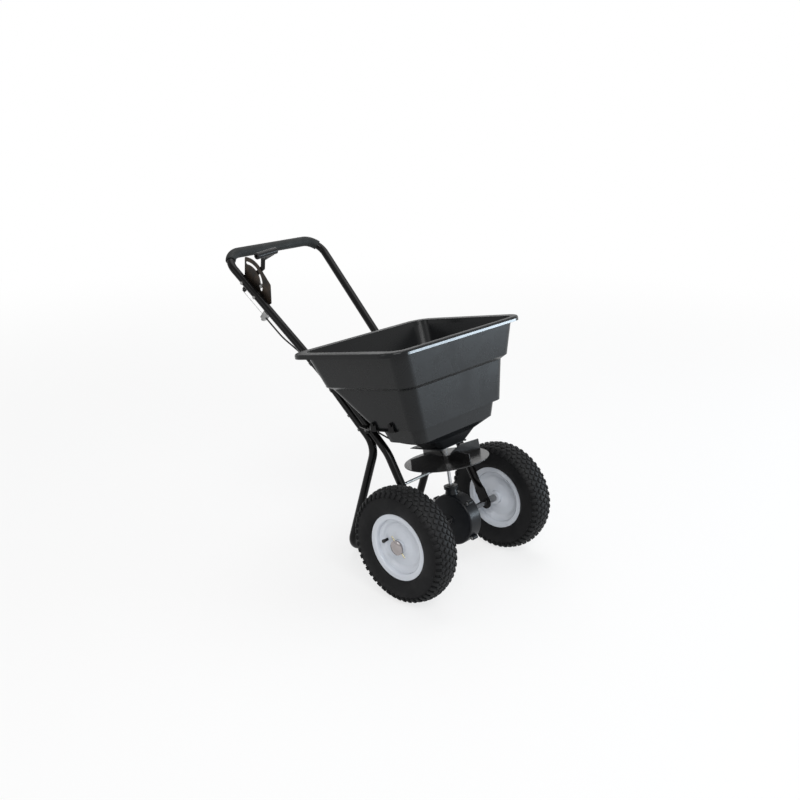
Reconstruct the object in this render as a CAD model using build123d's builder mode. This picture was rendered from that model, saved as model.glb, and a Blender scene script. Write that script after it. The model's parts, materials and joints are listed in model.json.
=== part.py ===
from build123d import *
import os
from math import acos, asin, atan2, cos, degrees, hypot, pi, radians, sin, tan

# Walk-behind broadcast spreader, in millimetres.
# +Z is up, the handle is at +Y, the front faces -Y, and +X is the operator's left.
# The origin is on the ground, under the middle of the object's box.
# The hopper, the shaft and the spreading disc lean back about the axle as the spreader
# rests on its stand, so they are placed in a frame of their own.

# Wheels, axle and track
tyre_radius = 165.0
tyre_width = 83.0
shoulder_half = 33.0
shoulder_drop = 11.0
belly_radius = 122.0
sidewall_low = (39.5, 108.0)
sidewall_high = (38.6, 142.0)
tyre_inside_crown = 152.0
tyre_inside = ((24.0, 94.0), (35.0, 112.0), (35.5, 124.0), (29.0, 145.0))
bead_toe = 17.0
track = 434.0
bead_radius = 80.5
flange_radius = 94.8
flange_half = 31.3
bead_half = 27.5
well_half = 11.0
well_radius = 71.0
rim_sheet = 1.8
disc_sheet = 2.0
dish_points = ((16.5, 77.9), (14.0, 70.0), (8.0, 62.0), (12.0, 40.0))
dish_at_hub = 20.0
dish_bend = 10.0
well_bend = 2.0
hub_radius = 19.5
hub_half = 34.0
washer_reach = 5.0
washer_sheet = 1.0
axle_radius = 8.0
axle_past_hub = 2.0
cap_sheet = 1.3
cap_overlap = 4.0
cap_dome = 6.0
valve_reach = 53.0
valve_radius = 4.0
valve_cap_radius = 5.2
valve_start, valve_end = 8.0, 24.0
valve_cap_end = 31.0
drive_pin_radius = 2.0
drive_pin_half = 34.5
drive_pin_angle = 46.5
drive_pin_inset = 7.0

# Frame tubes
tube_diameter = 24.0
tube_wall = 1.5
tube_spacing = 284.0
knee_y, knee_z = 181.0, 380.0
bar_y, bar_z = 765.0, 853.3
bar_width = 385.0
bar_bend = 55.0
splay_run = 275.0
splay_bend = 200.0
foot_y = 290.0
foot_bend = 60.0
knee_bend = 60.0
front_bend_back = 42.0
front_bend = 120.0
front_overlap = 160.0
joint_run = 205.0
spigot_length = 45.0
shoulder_length = 6.0
flat_width = 36.0
flat_thickness = 4.0
flat_below = 20.0
flat_above = 42.0
flat_transition = 36.0
brace_radius = 4.0
brace_height = 125.0
plug_flange = 3.0
plug_depth = 12.0

# Grip
grip_radius = 15.5
grip_turn = 58.0

# Fits
seat_gap = 0.3
running_gap = 0.05
press_gap = 0.02
hole_gap = 0.2

# Bushings and fasteners
bushing_wall = 2.5
flange_thickness = 1.5
flange_reach = 3.0
spacer_wall = 3.0
frame_bolt_radius = 3.0
small_bolt_radius = 2.5
roll_pin_radius = 2.0
head_reach = 2.6
head_height = 4.0
nut_height = 5.0
thread_past_nut = 2.0
brace_past_nut = 3.0
frame_bolt_runs = (70.0, 122.0)
handle_bolt_run = 226.0

# Hopper: how far the body leans back, and its sections above the axle
lean = 12.0
hopper_wall = 4.0
rim_top = 540.7
lip_depth = 13.0
lip_sheet = 3.5
lip_half_width = 281.0
lip_front = -134.0
lip_rear = 285.0
lip_corner = 60.0
lip_edge = 6.0
upper_step = 437.0
middle_step = 427.0
lower_step = 312.0
floor_bottom = 222.0
floor_thickness = 5.0

# Hopper brackets
bracket_sheet = 3.0
bracket_tabs = (5.0, 72.0)
bracket_tab_width = 20.0
bracket_tab_height = 22.0
bracket_bolt_height = 16.0
hopper_nut_gap = 1.8
bracket_front = -10.0
bracket_rear = 156.0
bracket_end_width = 14.0
bracket_bolt_run = 47.0
bracket_flange_width = 18.0
bracket_flange_below = 12.0
bracket_corner = 5.0

# Gears, spreading disc and shaft
gear_teeth = 40
pinion_teeth = 10
gear_module = 3.1
gear_face = 14.0
pressure_angle = 20.0
addendum = 2.5
dedendum = 3.7
root_margin = 0.5
tooth_share = 0.42
gear_web_back = 24.0
gear_hub_radius = 15.0
gear_hub_front = 6.0
gear_web = 6.0
gear_rim_below = 4.0
gear_windows = 6
gear_window_radius = 8.0
pinion_hub_radius = 9.5
pinion_back_gap = 4.0
pinion_pin_radius = 1.5
shaft_radius = 5.0
shaft_bottom = 42.0
shaft_top = 266.0
disc_radius = 122.0
disc_top = 176.7
disc_thickness = 3.0
disc_hub_radius = 13.0
disc_hub_length = 18.0
fin_count = 4
fin_angle = 165.0
fin_height = 30.0
fin_root_height = 12.0
fin_root = 16.0
fin_shoulder = 52.0
fin_thickness = 3.0

# Gearbox
case_radius = 75.0
case_wall = 3.0
case_right = 22.0
case_left = 28.0
case_edge = 6.0
case_inner_gap = 1.0
tower_radius = 20.0
tower_neck = 16.0
tower_collar = 9.0
tower_top = 98.0
tower_root = 10.0
flare_root = 6.0
flare_height = 14.0
boss_radius = 6.5
boss_half = 9.0
boss_angles = (-40, 40, 140, 220)

# Shut-off gate
gate_travel_per_degree = 0.66
gate_thickness = 2.0
gate_half_width = 53.0
gate_front = -36.0
gate_rear = 60.0
guide_lip = 5.0
guide_sheet = 1.5
guide_past_gate = 16.0
port_width = 32.0
port_length = 23.0
port_centre = 32.0
port_corner = 4.0
closed_overlap = 0.5
shaft_slot_length = 53.1
shaft_slot_rear = 4.0
shaft_slot_corner = 5.0
cable_stop_rear = 96.0
strap_behind_gate = 10.0
strap_width = 13.0
ear_width = 20.0
ear_sheet = 2.0
clevis_length = 14.0
clevis_width = 12.0
clevis_below_wire = 3.0
clevis_corner = 2.0
cable_drop = 6.0
lower_wire_rear = 112.0

# Agitator
agitator_height = 250.0
agitator_reach = 30.0
agitator_rise = 12.0
agitator_radius = 2.0
agitator_bend = 5.0

# Control lever, quadrant and cable
pivot_from_corner = 112.5
plate_thickness = 2.5
plate_rim_radius = 73.5
plate_rim_end = 96.0
plate_rim_middle = 72.0
plate_corners = ((-72.0, 58.0), (-105.0, 12.0), (-98.0, -9.0), (14.0, -9.0), (24.0, 12.0))
plate_corner_radius = 3.0
slot_radius = 56.0
slot_width = 9.0
slot_start, slot_end = 54.0, 161.0
plate_rim_start = 48.0
lever_min = -25.0
stop_angle = 149.0
lever_thickness = 4.0
lever_width = 14.0
lever_eye_margin = 4.0
lever_stem_end = 3.0
lever_boss = 2.0
wire_slot_width = 3.0
wire_slot_margin = 3.4
lever_elbow_a, lever_elbow_b = -19.5, 77.0
stem_a, stem_b = -3.0, 106.0
knob_radius = 10.0
knob_edge = 2.0
knob_above_stem = 14.0
knob_below_stem = 5.0
gusset_left, gusset_right = 5.0, 6.0
gusset_from_end = 12.0
gusset_rise = 6.0
gusset_shoulder = 8.0
knob_wall = 9.0
socket_past_lever = 4.0
knob_short, knob_long = 35.0, 46.0
second_bolt_a = -60.0
wire_radius = 1.0
wire_bore = 1.1
wire_drop = 36.0
wire_side = 5.0
wire_length = 140.0
lever_max = 13.0
clamp_screw_side = 7.0
clamp_margin = 10.0
clamp_below_cable = 3.0
clamp_corner = 2.0
clamp_screw_past = 3.0
cable_radius = 2.5
cable_start = 106.0
cable_straight = 200.0
cable_tail = 140.0
clamp_length = 17.0
clip_sheet = 1.6
clip_over_cable = 1.8
clip_half = 4.0

# Stop in the quadrant's slot
stop_bolt_length = 20.0
wing_collar = 2.5
wing_half_thickness = 1.0
wing_edge = 1.5
wing_outline = ((3.3, 1.0), (5.5, 1.0), (13.0, 7.0), (13.5, 12.0), (10.0, 14.0), (6.0, 8.0), (3.3, 4.5))

# Values worked out from the sizes above
tube_radius = tube_diameter / 2
half_spacing = tube_spacing / 2
half_track = track / 2
axle_y = (tyre_radius - bar_y - grip_radius) / 2
axle_centre = Vector(0, axle_y, tyre_radius)
side_dir = Vector(1, 0, 0)
shaft_dir = Vector(0, sin(radians(lean)), cos(radians(lean)))
rear_dir = Vector(0, cos(radians(lean)), -sin(radians(lean)))
axle_axis = Axis(axle_centre, side_dir)
shaft_axis = Axis(axle_centre, shaft_dir)
front_offset = tube_diameter + seat_gap
line_length = hypot(bar_y - knee_y, bar_z - knee_z)
line_dir = Vector(0, bar_y - knee_y, bar_z - knee_z).normalized()
line_up = Vector(0, -line_dir.Z, line_dir.Y)
axle_bushing_radius = axle_radius + running_gap + bushing_wall
shaft_bushing_radius = shaft_radius + running_gap + bushing_wall
sides = {"right": -1, "left": 1}


def level(height):
    """Plane across the leaning body; its x is the object's X, its y points to the rear."""
    return Plane(origin=axle_centre + shaft_dir * height, x_dir=side_dir, z_dir=shaft_dir)


def leaning_side(x):
    """Upright plane of the leaning body; its x points to the rear, its y up the shaft."""
    return Plane(origin=axle_centre + side_dir * x, x_dir=rear_dir, z_dir=side_dir)


def wheel_section(x):
    """Plane through the axle; its x is sideways from the wheel's middle, its y the radius."""
    return Plane(origin=axle_centre + side_dir * x, x_dir=side_dir, z_dir=(0, -1, 0))


def in_body(x, rear, height):
    """Point given across, to the rear and up the shaft of the leaning body."""
    return axle_centre + side_dir * x + rear_dir * rear + shaft_dir * height


def behind_axle(x, y, z):
    """Point given across, behind the axle and above the ground."""
    return Vector(x, axle_y + y, z)


def on_line(x, run, above=0.0):
    """Point on the rear tube's line: run up from the knee, and square to it."""
    return behind_axle(x, knee_y, knee_z) + line_dir * run + line_up * above


# Control plate's frame: a runs up the right side tube, b is square to it, n points inward
side_tube_start = on_line(-half_spacing, splay_run)
side_tube_corner = on_line(-bar_width / 2, line_length)
control_a = (side_tube_corner - side_tube_start).normalized()
control_n = (side_dir - control_a * control_a.dot(side_dir)).normalized()
control_b = control_n.cross(control_a)
pivot = side_tube_corner - control_a * pivot_from_corner


def control(a, b, n=0.0):
    """Point in the control plate's frame."""
    return pivot + control_a * a + control_b * b + control_n * n


def control_plane(n):
    """Plane of the control plate, at a distance inward from the side tube's middle."""
    return Plane(origin=control(0, 0, n), x_dir=control_a, z_dir=control_n)


def ring(radius, bore):
    Circle(radius)
    Circle(bore, mode=Mode.SUBTRACT)


def add_ring(plane, radius, bore, length):
    """Tube of one length, standing on a plane."""
    with BuildSketch(plane) as outline:
        ring(radius, bore)
    extrude(outline.sketch, amount=length)


def add_bushing(plane, bore, length):
    """Bushing whose sleeve goes down from the plane and whose flange lies on it."""
    add_ring(plane, bore + running_gap + bushing_wall, bore + running_gap, -length)
    flange = bore + running_gap + bushing_wall + flange_reach
    add_ring(plane, flange, bore + running_gap, flange_thickness)


def add_rod(start, end, radius, mode=Mode.ADD):
    """Round bar between two points."""
    with BuildSketch(Plane(origin=start, z_dir=end - start)) as outline:
        Circle(radius)
    extrude(outline.sketch, amount=(end - start).length, mode=mode)


def add_bolt(seat, direction, length, radius):
    """Hexagon head on its seat, and a shank along the direction."""
    with BuildSketch(Plane(origin=seat, z_dir=direction)) as head:
        RegularPolygon(radius=radius + head_reach, side_count=6)
    extrude(head.sketch, amount=-head_height)
    add_rod(seat, seat + direction * length, radius)


def add_nut(seat, direction, radius):
    with BuildSketch(Plane(origin=seat, z_dir=direction)) as outline:
        RegularPolygon(radius=radius + head_reach, side_count=6)
        Circle(radius + press_gap, mode=Mode.SUBTRACT)
    extrude(outline.sketch, amount=nut_height)


def bolt_hole(middle, direction, half_length, radius):
    """Clearance hole through the pieces on both sides of a point."""
    add_rod(middle - direction * half_length, middle + direction * half_length, radius + hole_gap,
            mode=Mode.SUBTRACT)


def add_tube(points, radii, radius, bore):
    """Tube bent along a route; a bore of nought leaves it solid."""
    with BuildLine() as route:
        FilletPolyline(*points, radius=radii)
    with BuildSketch(Plane(origin=route.line @ 0, z_dir=route.line % 0)) as outline:
        Circle(radius)
        if bore:
            Circle(bore, mode=Mode.SUBTRACT)
    sweep(outline.sketch, path=route.line)


def finish(part, name):
    part.label = name
    export_step(part, f"parts/{name}.step")


os.makedirs("parts", exist_ok=True)

# Hopper sections: height, half width, front edge, rear edge, corner radius
upper_top = (rim_top, 252.0, -121.0, 257.0, 38.0)
upper_bottom = (upper_step, 227.0, -108.0, 224.0, 40.0)
middle_top = (middle_step, 211.0, -95.0, 213.0, 38.0)
middle_bottom = (lower_step, 189.0, -86.0, 92.0, 34.0)
lower_top = (lower_step, 175.0, -73.0, 79.0, 32.0)
lower_bottom = (268.5, 160.0, -67.0, 68.0, 28.0)
funnel_middle = (250.0, 92.0, -50.0, 56.0, 20.0)
funnel_bottom = (floor_bottom, 56.0, -38.0, 46.0, 18.0)
body_sections = [upper_top, upper_bottom, middle_top, middle_bottom]
well_sections = [lower_top, lower_bottom, funnel_middle, funnel_bottom]


def hopper_section(section, inset=0.0, lift=0.0):
    """Rounded outline at one height, drawn in by an inset and raised by a lift."""
    height, half_width, front, rear, corner = section
    with BuildSketch(level(height + lift)) as outline:
        with Locations((0, (front + rear) / 2)):
            RectangleRounded(2 * (half_width - inset), rear - front - 2 * inset, corner - inset)
    return outline.sketch


def stack(sections, inset=0.0, lifts=(0, 0, 0, 0), mode=Mode.ADD):
    """Straight-sided body from one section down to the next."""
    for index in range(len(sections) - 1):
        upper = hopper_section(sections[index], inset, lifts[index])
        lower = hopper_section(sections[index + 1], inset, lifts[index + 1])
        loft([upper, lower], ruled=True, mode=mode)


middle_wall_slope = (middle_top[1] - middle_bottom[1]) / (middle_step - lower_step)
bracket_wall_x = middle_bottom[1] + bracket_tab_height * middle_wall_slope + seat_gap
bracket_top = lower_step - seat_gap
hopper_bolt_height = lower_step + bracket_bolt_height
hopper_bolt_outer = bracket_wall_x + bracket_sheet
nut_low = bracket_bolt_height - hopper_wall - frame_bolt_radius - head_reach
hopper_bolt_inner = middle_bottom[1] - hopper_wall + nut_low * middle_wall_slope - hopper_nut_gap

# Hopper: stepped moulded tub with a broad turned-down rim, drawn in to a flat base with two ports
with BuildPart() as hopper:
    stack(body_sections)
    stack(well_sections)
    lip = (rim_top, lip_half_width, lip_front, lip_rear, lip_corner)
    extrude(hopper_section(lip), amount=-lip_depth)
    lip_face = hopper.faces().sort_by(Axis(axle_centre, shaft_dir))[-1]
    fillet(lip_face.edges(), radius=lip_edge)
    # The space under the turned-down rim
    with BuildSketch(level(rim_top - lip_depth)):
        with Locations((0, (lip_front + lip_rear) / 2)):
            RectangleRounded(2 * (lip_half_width - lip_sheet), lip_rear - lip_front - 2 * lip_sheet,
                             lip_corner - lip_sheet)
            RectangleRounded(2 * upper_top[1], upper_top[3] - upper_top[2], upper_top[4],
                             mode=Mode.SUBTRACT)
    extrude(amount=lip_depth - lip_sheet, mode=Mode.SUBTRACT)
    # The inside, one wall thickness in from the outside
    stack(body_sections, hopper_wall, (1, hopper_wall, hopper_wall, hopper_wall), Mode.SUBTRACT)
    stack(well_sections, hopper_wall, (hopper_wall, hopper_wall, hopper_wall, floor_thickness), Mode.SUBTRACT)
    # Ports and the shaft's seat in the floor
    with BuildSketch(level(floor_bottom - 1)):
        with Locations((-port_centre, 0), (port_centre, 0)):
            RectangleRounded(port_width, port_length, port_corner)
        Circle(shaft_bushing_radius + press_gap)
    extrude(amount=floor_thickness + 2, mode=Mode.SUBTRACT)
    for rear in bracket_tabs:
        bolt_hole(in_body(0, rear, hopper_bolt_height), side_dir, lip_half_width, frame_bolt_radius)

finish(hopper.part, "hopper")

# Brackets: shelf under the hopper's step, tabs up its wall and a flange on the front tube
bracket_bolt_point = on_line(0, bracket_bolt_run, front_offset)
bracket_bolt_offset = bracket_bolt_point - axle_centre
bracket_bolt_rear = bracket_bolt_offset.dot(rear_dir)
bracket_bolt_up = bracket_bolt_offset.dot(shaft_dir)
flange_x = half_spacing + tube_radius + seat_gap
shelf_inner = lower_top[1] + seat_gap
bracket_neck_rear = bracket_bolt_rear - 2 * bracket_end_width


def bracket(sign):
    with BuildPart() as plate:
        with BuildSketch(level(bracket_top - bracket_sheet)):
            with BuildLine():
                Polyline((sign * shelf_inner, bracket_front), (sign * hopper_bolt_outer, bracket_front),
                         (sign * hopper_bolt_outer, middle_bottom[3]),
                         (sign * (flange_x + bracket_end_width), bracket_rear),
                         (sign * flange_x, bracket_rear), (sign * flange_x, bracket_neck_rear),
                         (sign * shelf_inner, lower_top[3] + bracket_corner), close=True)
            make_face()
        extrude(amount=bracket_sheet)
        with BuildSketch(leaning_side(sign * bracket_wall_x)):
            for rear in bracket_tabs:
                with Locations((rear, bracket_top + bracket_tab_height / 2 - bracket_sheet)):
                    RectangleRounded(bracket_tab_width, bracket_tab_height + bracket_sheet, bracket_corner)
        extrude(amount=sign * bracket_sheet)
        flange_low = bracket_bolt_up - bracket_flange_below
        with BuildSketch(leaning_side(sign * flange_x)):
            with Locations((bracket_bolt_rear, (bracket_top + flange_low) / 2)):
                RectangleRounded(bracket_flange_width, bracket_top - flange_low, bracket_corner)
        extrude(amount=sign * bracket_sheet)
        for rear in bracket_tabs:
            bolt_hole(in_body(sign * bracket_wall_x, rear, hopper_bolt_height), side_dir, 10,
                      frame_bolt_radius)
        bolt_hole(bracket_bolt_point + side_dir * sign * flange_x, side_dir, 10, frame_bolt_radius)
    return plate.part


for name, sign in sides.items():
    finish(bracket(sign), f"hopper_bracket_{name}")

with BuildPart() as hopper_bolts:
    for sign in sides.values():
        for rear in bracket_tabs:
            add_bolt(in_body(sign * hopper_bolt_outer, rear, hopper_bolt_height), side_dir * -sign,
                     hopper_bolt_outer - hopper_bolt_inner + nut_height + thread_past_nut, frame_bolt_radius)
finish(hopper_bolts.part, "hopper_bolts")

with BuildPart() as hopper_nuts:
    for sign in sides.values():
        for rear in bracket_tabs:
            add_nut(in_body(sign * hopper_bolt_inner, rear, hopper_bolt_height), side_dir * -sign,
                    frame_bolt_radius)
finish(hopper_nuts.part, "hopper_nuts")

# Front tubes: flattened on the axle, bent, and bolted on top of the rear tube
brace_y = brace_height * (on_line(0, -front_bend_back, front_offset) - axle_centre).Y
brace_y = brace_y / (on_line(0, -front_bend_back, front_offset) - axle_centre).Z


def front_tube(sign):
    x = sign * half_spacing
    foot = behind_axle(x, 0, tyre_radius)
    bend = on_line(x, -front_bend_back, front_offset)
    top = on_line(x, front_overlap, front_offset)
    along = (bend - foot).normalized()
    across = along.cross(side_dir)
    flat_end = foot + along * flat_above
    round_start = flat_end + along * flat_transition
    end_centre = flat_width / 2 - flat_below
    with BuildPart() as tube:
        with BuildSketch(Plane(origin=foot, x_dir=along, z_dir=side_dir)) as flat:
            with Locations((end_centre, 0)):
                Circle(flat_width / 2)
            with Locations(((end_centre + flat_above) / 2, 0)):
                Rectangle(flat_above - end_centre, flat_width)
        extrude(flat.sketch, amount=flat_thickness / 2, both=True)
        with BuildSketch(Plane(origin=flat_end, x_dir=across, z_dir=along)) as pressed:
            SlotOverall(flat_width, flat_thickness)
        with BuildSketch(Plane(origin=round_start, x_dir=across, z_dir=along)) as full:
            Circle(tube_radius)
        loft([pressed.sketch, full.sketch])
        add_tube((round_start, bend, top), [front_bend], tube_radius, tube_radius - tube_wall)
        bolt_hole(foot, side_dir, flat_width, axle_bushing_radius - hole_gap + press_gap)
        bolt_hole(behind_axle(x, brace_y, tyre_radius + brace_height), side_dir, tube_diameter, brace_radius)
        bolt_hole(bracket_bolt_point + side_dir * x, side_dir, tube_diameter, frame_bolt_radius)
        for run in frame_bolt_runs:
            bolt_hole(on_line(x, run, front_offset), line_up, tube_radius + seat_gap, frame_bolt_radius)
    return tube.part


for name, sign in sides.items():
    finish(front_tube(sign), f"front_tube_{name}")

# Plugs in the open upper ends of the front tubes
with BuildPart() as tube_plugs:
    for sign in sides.values():
        top = Plane(origin=on_line(sign * half_spacing, front_overlap, front_offset), z_dir=line_dir)
        with BuildSketch(top) as plug:
            Circle(tube_radius)
        extrude(plug.sketch, amount=plug_flange)
        with BuildSketch(top) as plug_stem:
            Circle(tube_radius - tube_wall - press_gap)
        extrude(plug_stem.sketch, amount=-plug_depth)
finish(tube_plugs.part, "tube_plugs")

# Stand: one bent tube, its ends swaged to go into the handle
stand_points = []
for sign in (-1, 1):
    leg = [on_line(sign * half_spacing, joint_run), on_line(sign * half_spacing, 0),
           behind_axle(sign * half_spacing, foot_y, tube_radius)]
    stand_points += leg if sign < 0 else leg[::-1]
with BuildPart() as stand_frame:
    add_tube(stand_points, [knee_bend, foot_bend, foot_bend, knee_bend], tube_radius, tube_radius - tube_wall)
    for sign in sides.values():
        x = sign * half_spacing
        shoulder = Plane(origin=on_line(x, joint_run - shoulder_length), z_dir=line_dir)
        spigot_radius = tube_radius - tube_wall - running_gap
        add_ring(shoulder, tube_radius, spigot_radius - tube_wall, shoulder_length)
        add_ring(shoulder, spigot_radius, spigot_radius - tube_wall, shoulder_length + spigot_length)
        bolt_hole(on_line(x, handle_bolt_run), side_dir, tube_diameter, frame_bolt_radius)
        for run in frame_bolt_runs:
            bolt_hole(on_line(x, run), line_up, tube_radius + seat_gap, frame_bolt_radius)
finish(stand_frame.part, "stand_frame")

# Handle: splayed side tubes and a cross bar, bent from one tube
handle_points = [on_line(-half_spacing, joint_run + seat_gap), on_line(-half_spacing, splay_run),
                 on_line(-bar_width / 2, line_length), on_line(bar_width / 2, line_length),
                 on_line(half_spacing, splay_run), on_line(half_spacing, joint_run + seat_gap)]
quadrant_bolt_points = (0.0, second_bolt_a)
clamp_a = -cable_start - clamp_length / 2
clamp_screw_n = wire_side - clamp_screw_side
with BuildPart() as handle_tube:
    add_tube(handle_points, [splay_bend, bar_bend, bar_bend, splay_bend], tube_radius,
             tube_radius - tube_wall)
    for sign in sides.values():
        bolt_hole(on_line(sign * half_spacing, handle_bolt_run), side_dir, tube_diameter, frame_bolt_radius)
    for a in quadrant_bolt_points:
        bolt_hole(control(a, 0), control_n, tube_diameter, frame_bolt_radius)
    bolt_hole(control(clamp_a, -tube_radius, clamp_screw_n), control_b, tube_radius / 2,
              small_bolt_radius)
finish(handle_tube.part, "handle_tube")

# Foam grip over the cross bar, ending part of the way round both bends
half_turn = (90 + degrees(acos(control_a.dot(line_dir)))) / 2
straight_half = bar_width / 2 - bar_bend * tan(radians(half_turn))
with BuildPart() as grip:
    with BuildLine(Plane(origin=on_line(0, line_length), x_dir=side_dir, z_dir=line_up)) as grip_route:
        left_arc = CenterArc((straight_half, -bar_bend), bar_bend, 90 - grip_turn, grip_turn)
        Line(left_arc @ 1, (-straight_half, 0))
        CenterArc((-straight_half, -bar_bend), bar_bend, 90, grip_turn)
    with BuildSketch(Plane(origin=grip_route.line @ 0, z_dir=grip_route.line % 0)) as outline:
        ring(grip_radius, tube_radius + press_gap)
    sweep(outline.sketch, path=grip_route.line)
finish(grip.part, "grip")

# Zinc rod through both front tubes, with a nut at each end
brace_half = half_spacing + tube_radius + seat_gap + nut_height + brace_past_nut
with BuildPart() as cross_brace:
    brace_z = tyre_radius + brace_height
    brace_end = side_dir * brace_half
    brace_middle = behind_axle(0, brace_y, brace_z)
    add_rod(brace_middle - brace_end, brace_middle + brace_end, brace_radius)
finish(cross_brace.part, "cross_brace")

# Bolts and nuts of the frame: front tubes to rear tubes, brackets and handle joints
handle_bolt_length = 2 * tube_radius + nut_height + thread_past_nut
joint_bolt_length = front_offset + handle_bolt_length
bracket_bolt_length = seat_gap + bracket_sheet + handle_bolt_length
with BuildPart() as frame_bolts:
    for sign in sides.values():
        x = sign * half_spacing
        for run in frame_bolt_runs:
            add_bolt(on_line(x, run, -tube_radius), line_up, joint_bolt_length, frame_bolt_radius)
        bracket_seat = bracket_bolt_point + side_dir * sign * (flange_x + bracket_sheet)
        add_bolt(bracket_seat, side_dir * -sign, bracket_bolt_length, frame_bolt_radius)
        handle_seat = on_line(x + sign * tube_radius, handle_bolt_run)
        add_bolt(handle_seat, side_dir * -sign, handle_bolt_length, frame_bolt_radius)
finish(frame_bolts.part, "frame_bolts")

with BuildPart() as frame_nuts:
    for sign in sides.values():
        x = sign * half_spacing
        for run in frame_bolt_runs:
            add_nut(on_line(x, run, front_offset + tube_radius), line_up, frame_bolt_radius)
        add_nut(bracket_bolt_point + side_dir * sign * (half_spacing - tube_radius), side_dir * -sign,
                frame_bolt_radius)
        add_nut(on_line(x - sign * tube_radius, handle_bolt_run), side_dir * -sign, frame_bolt_radius)
        add_nut(behind_axle(x + sign * tube_radius, brace_y, brace_z), side_dir * sign, brace_radius)
finish(frame_nuts.part, "frame_nuts")

# Axle and what it turns in
axle_half = half_track + hub_half + axle_past_hub
drive_pin_x = -(half_track + hub_half - drive_pin_inset)
drive_pin_dir = Vector(0, cos(radians(drive_pin_angle)), sin(radians(drive_pin_angle)))
gear_pin_x = (gear_hub_front + gear_hub_radius) / 2
with BuildPart() as axle:
    add_rod(behind_axle(-axle_half, 0, tyre_radius), behind_axle(axle_half, 0, tyre_radius), axle_radius)
    chamfer(axle.edges().filter_by(GeomType.CIRCLE), length=1)
    bolt_hole(behind_axle(drive_pin_x, 0, tyre_radius), drive_pin_dir, axle_radius + 1, drive_pin_radius)
    bolt_hole(behind_axle(gear_pin_x, 0, tyre_radius), shaft_dir, axle_radius + 1, roll_pin_radius)
finish(axle.part, "axle")

frame_bushing_x = half_spacing + flat_thickness / 2
with BuildPart() as frame_bushings:
    for sign in sides.values():
        seat = Plane(origin=behind_axle(sign * frame_bushing_x, 0, tyre_radius), z_dir=side_dir * sign)
        add_bushing(seat, axle_radius, flat_thickness + 1)
finish(frame_bushings.part, "frame_bushings")

with BuildPart() as gearbox_bushings:
    for sign, outside in ((-1, case_right), (1, case_left)):
        seat = Plane(origin=behind_axle(sign * outside, 0, tyre_radius), z_dir=side_dir * sign)
        add_bushing(seat, axle_radius, case_wall)
finish(gearbox_bushings.part, "gearbox_bushings")

spacer_start = frame_bushing_x + flange_thickness + seat_gap
spacer_length = half_track - hub_half - seat_gap - spacer_start
with BuildPart() as axle_spacers:
    for sign in sides.values():
        seat = Plane(origin=behind_axle(sign * spacer_start, 0, tyre_radius), z_dir=side_dir * sign)
        add_ring(seat, axle_radius + spacer_wall, axle_radius + running_gap, spacer_length)
finish(axle_spacers.part, "axle_spacers")

# Bevel gears: both pitch cones meet in the middle of the axle
gear_pitch = gear_module * gear_teeth / 2
pinion_pitch = gear_module * pinion_teeth / 2
gear_cone = degrees(atan2(gear_pitch, pinion_pitch))
pinion_cone = 90 - gear_cone
cone_distance = hypot(gear_pitch, pinion_pitch)
toe_share = (cone_distance - gear_face) / cone_distance
pitch_thickness = tooth_share * pi * gear_module
flank = tan(radians(pressure_angle))


def cone_point(axis_dir, radial_dir, cone_angle, distance, depth=0.0):
    """Point on a pitch cone, or below it by a depth that shrinks towards the apex."""
    slant = axis_dir * cos(radians(cone_angle)) + radial_dir * sin(radians(cone_angle))
    outward = radial_dir * cos(radians(cone_angle)) - axis_dir * sin(radians(cone_angle))
    return axle_centre + slant * distance - outward * depth * distance / cone_distance


def tooth_section(axis_dir, radial_dir, cone_angle, distance, outline):
    """Section of a bevel tooth square to its pitch line, scaled by its distance from the apex."""
    slant = axis_dir * cos(radians(cone_angle)) + radial_dir * sin(radians(cone_angle))
    across = radial_dir.cross(axis_dir)
    scale = distance / cone_distance
    points = [(half * scale, height * scale) for half, height in outline]
    points += [(-half, height) for half, height in reversed(points)]
    with BuildSketch(Plane(origin=axle_centre + slant * distance, x_dir=across, z_dir=slant)) as section:
        with BuildLine():
            Polyline(*points, close=True)
        make_face()
    return section.sketch


def bevel_tooth(axis_dir, radial_dir, cone_angle, outline):
    """Tooth that tapers from the gear's rim towards the apex."""
    with BuildPart() as tooth:
        heel = tooth_section(axis_dir, radial_dir, cone_angle, cone_distance, outline)
        toe = tooth_section(axis_dir, radial_dir, cone_angle, cone_distance * toe_share, outline)
        loft([toe, heel], ruled=True)
    return tooth.part


def involute_half(radius, pitch_radius):
    """Half thickness of a pinion tooth at one radius; its flank is straight below the base circle."""
    base = pitch_radius * cos(radians(pressure_angle))
    pressure = radians(pressure_angle)
    share = pitch_thickness / 2 / pitch_radius + tan(pressure) - pressure
    if radius > base:
        local = acos(base / radius)
        share -= tan(local) - local
    return share * radius


tooth_root = dedendum + 0.2
gear_outline = [(pitch_thickness / 2 + tooth_root * flank, -tooth_root),
                (pitch_thickness / 2 - addendum * flank, addendum)]
pinion_virtual = pinion_pitch / cos(radians(pinion_cone))
pinion_outline = [(involute_half(pinion_virtual + height, pinion_virtual), height)
                  for height in (-tooth_root, -addendum / 2, 0.0, addendum / 2, addendum)]
gear_tooth = bevel_tooth(side_dir, shaft_dir, gear_cone, gear_outline)
pinion_tooth = bevel_tooth(shaft_dir, side_dir, pinion_cone, pinion_outline)
root_outer, root_inner = cone_distance + root_margin, cone_distance * toe_share - root_margin
gear_root_heel = cone_point(side_dir, shaft_dir, gear_cone, root_outer, dedendum) - axle_centre
gear_root_toe = cone_point(side_dir, shaft_dir, gear_cone, root_inner, dedendum) - axle_centre
pinion_root_heel = cone_point(shaft_dir, side_dir, pinion_cone, root_outer, dedendum) - axle_centre
pinion_root_toe = cone_point(shaft_dir, side_dir, pinion_cone, root_inner, dedendum) - axle_centre
gear_web_front = gear_web_back - gear_web
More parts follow.
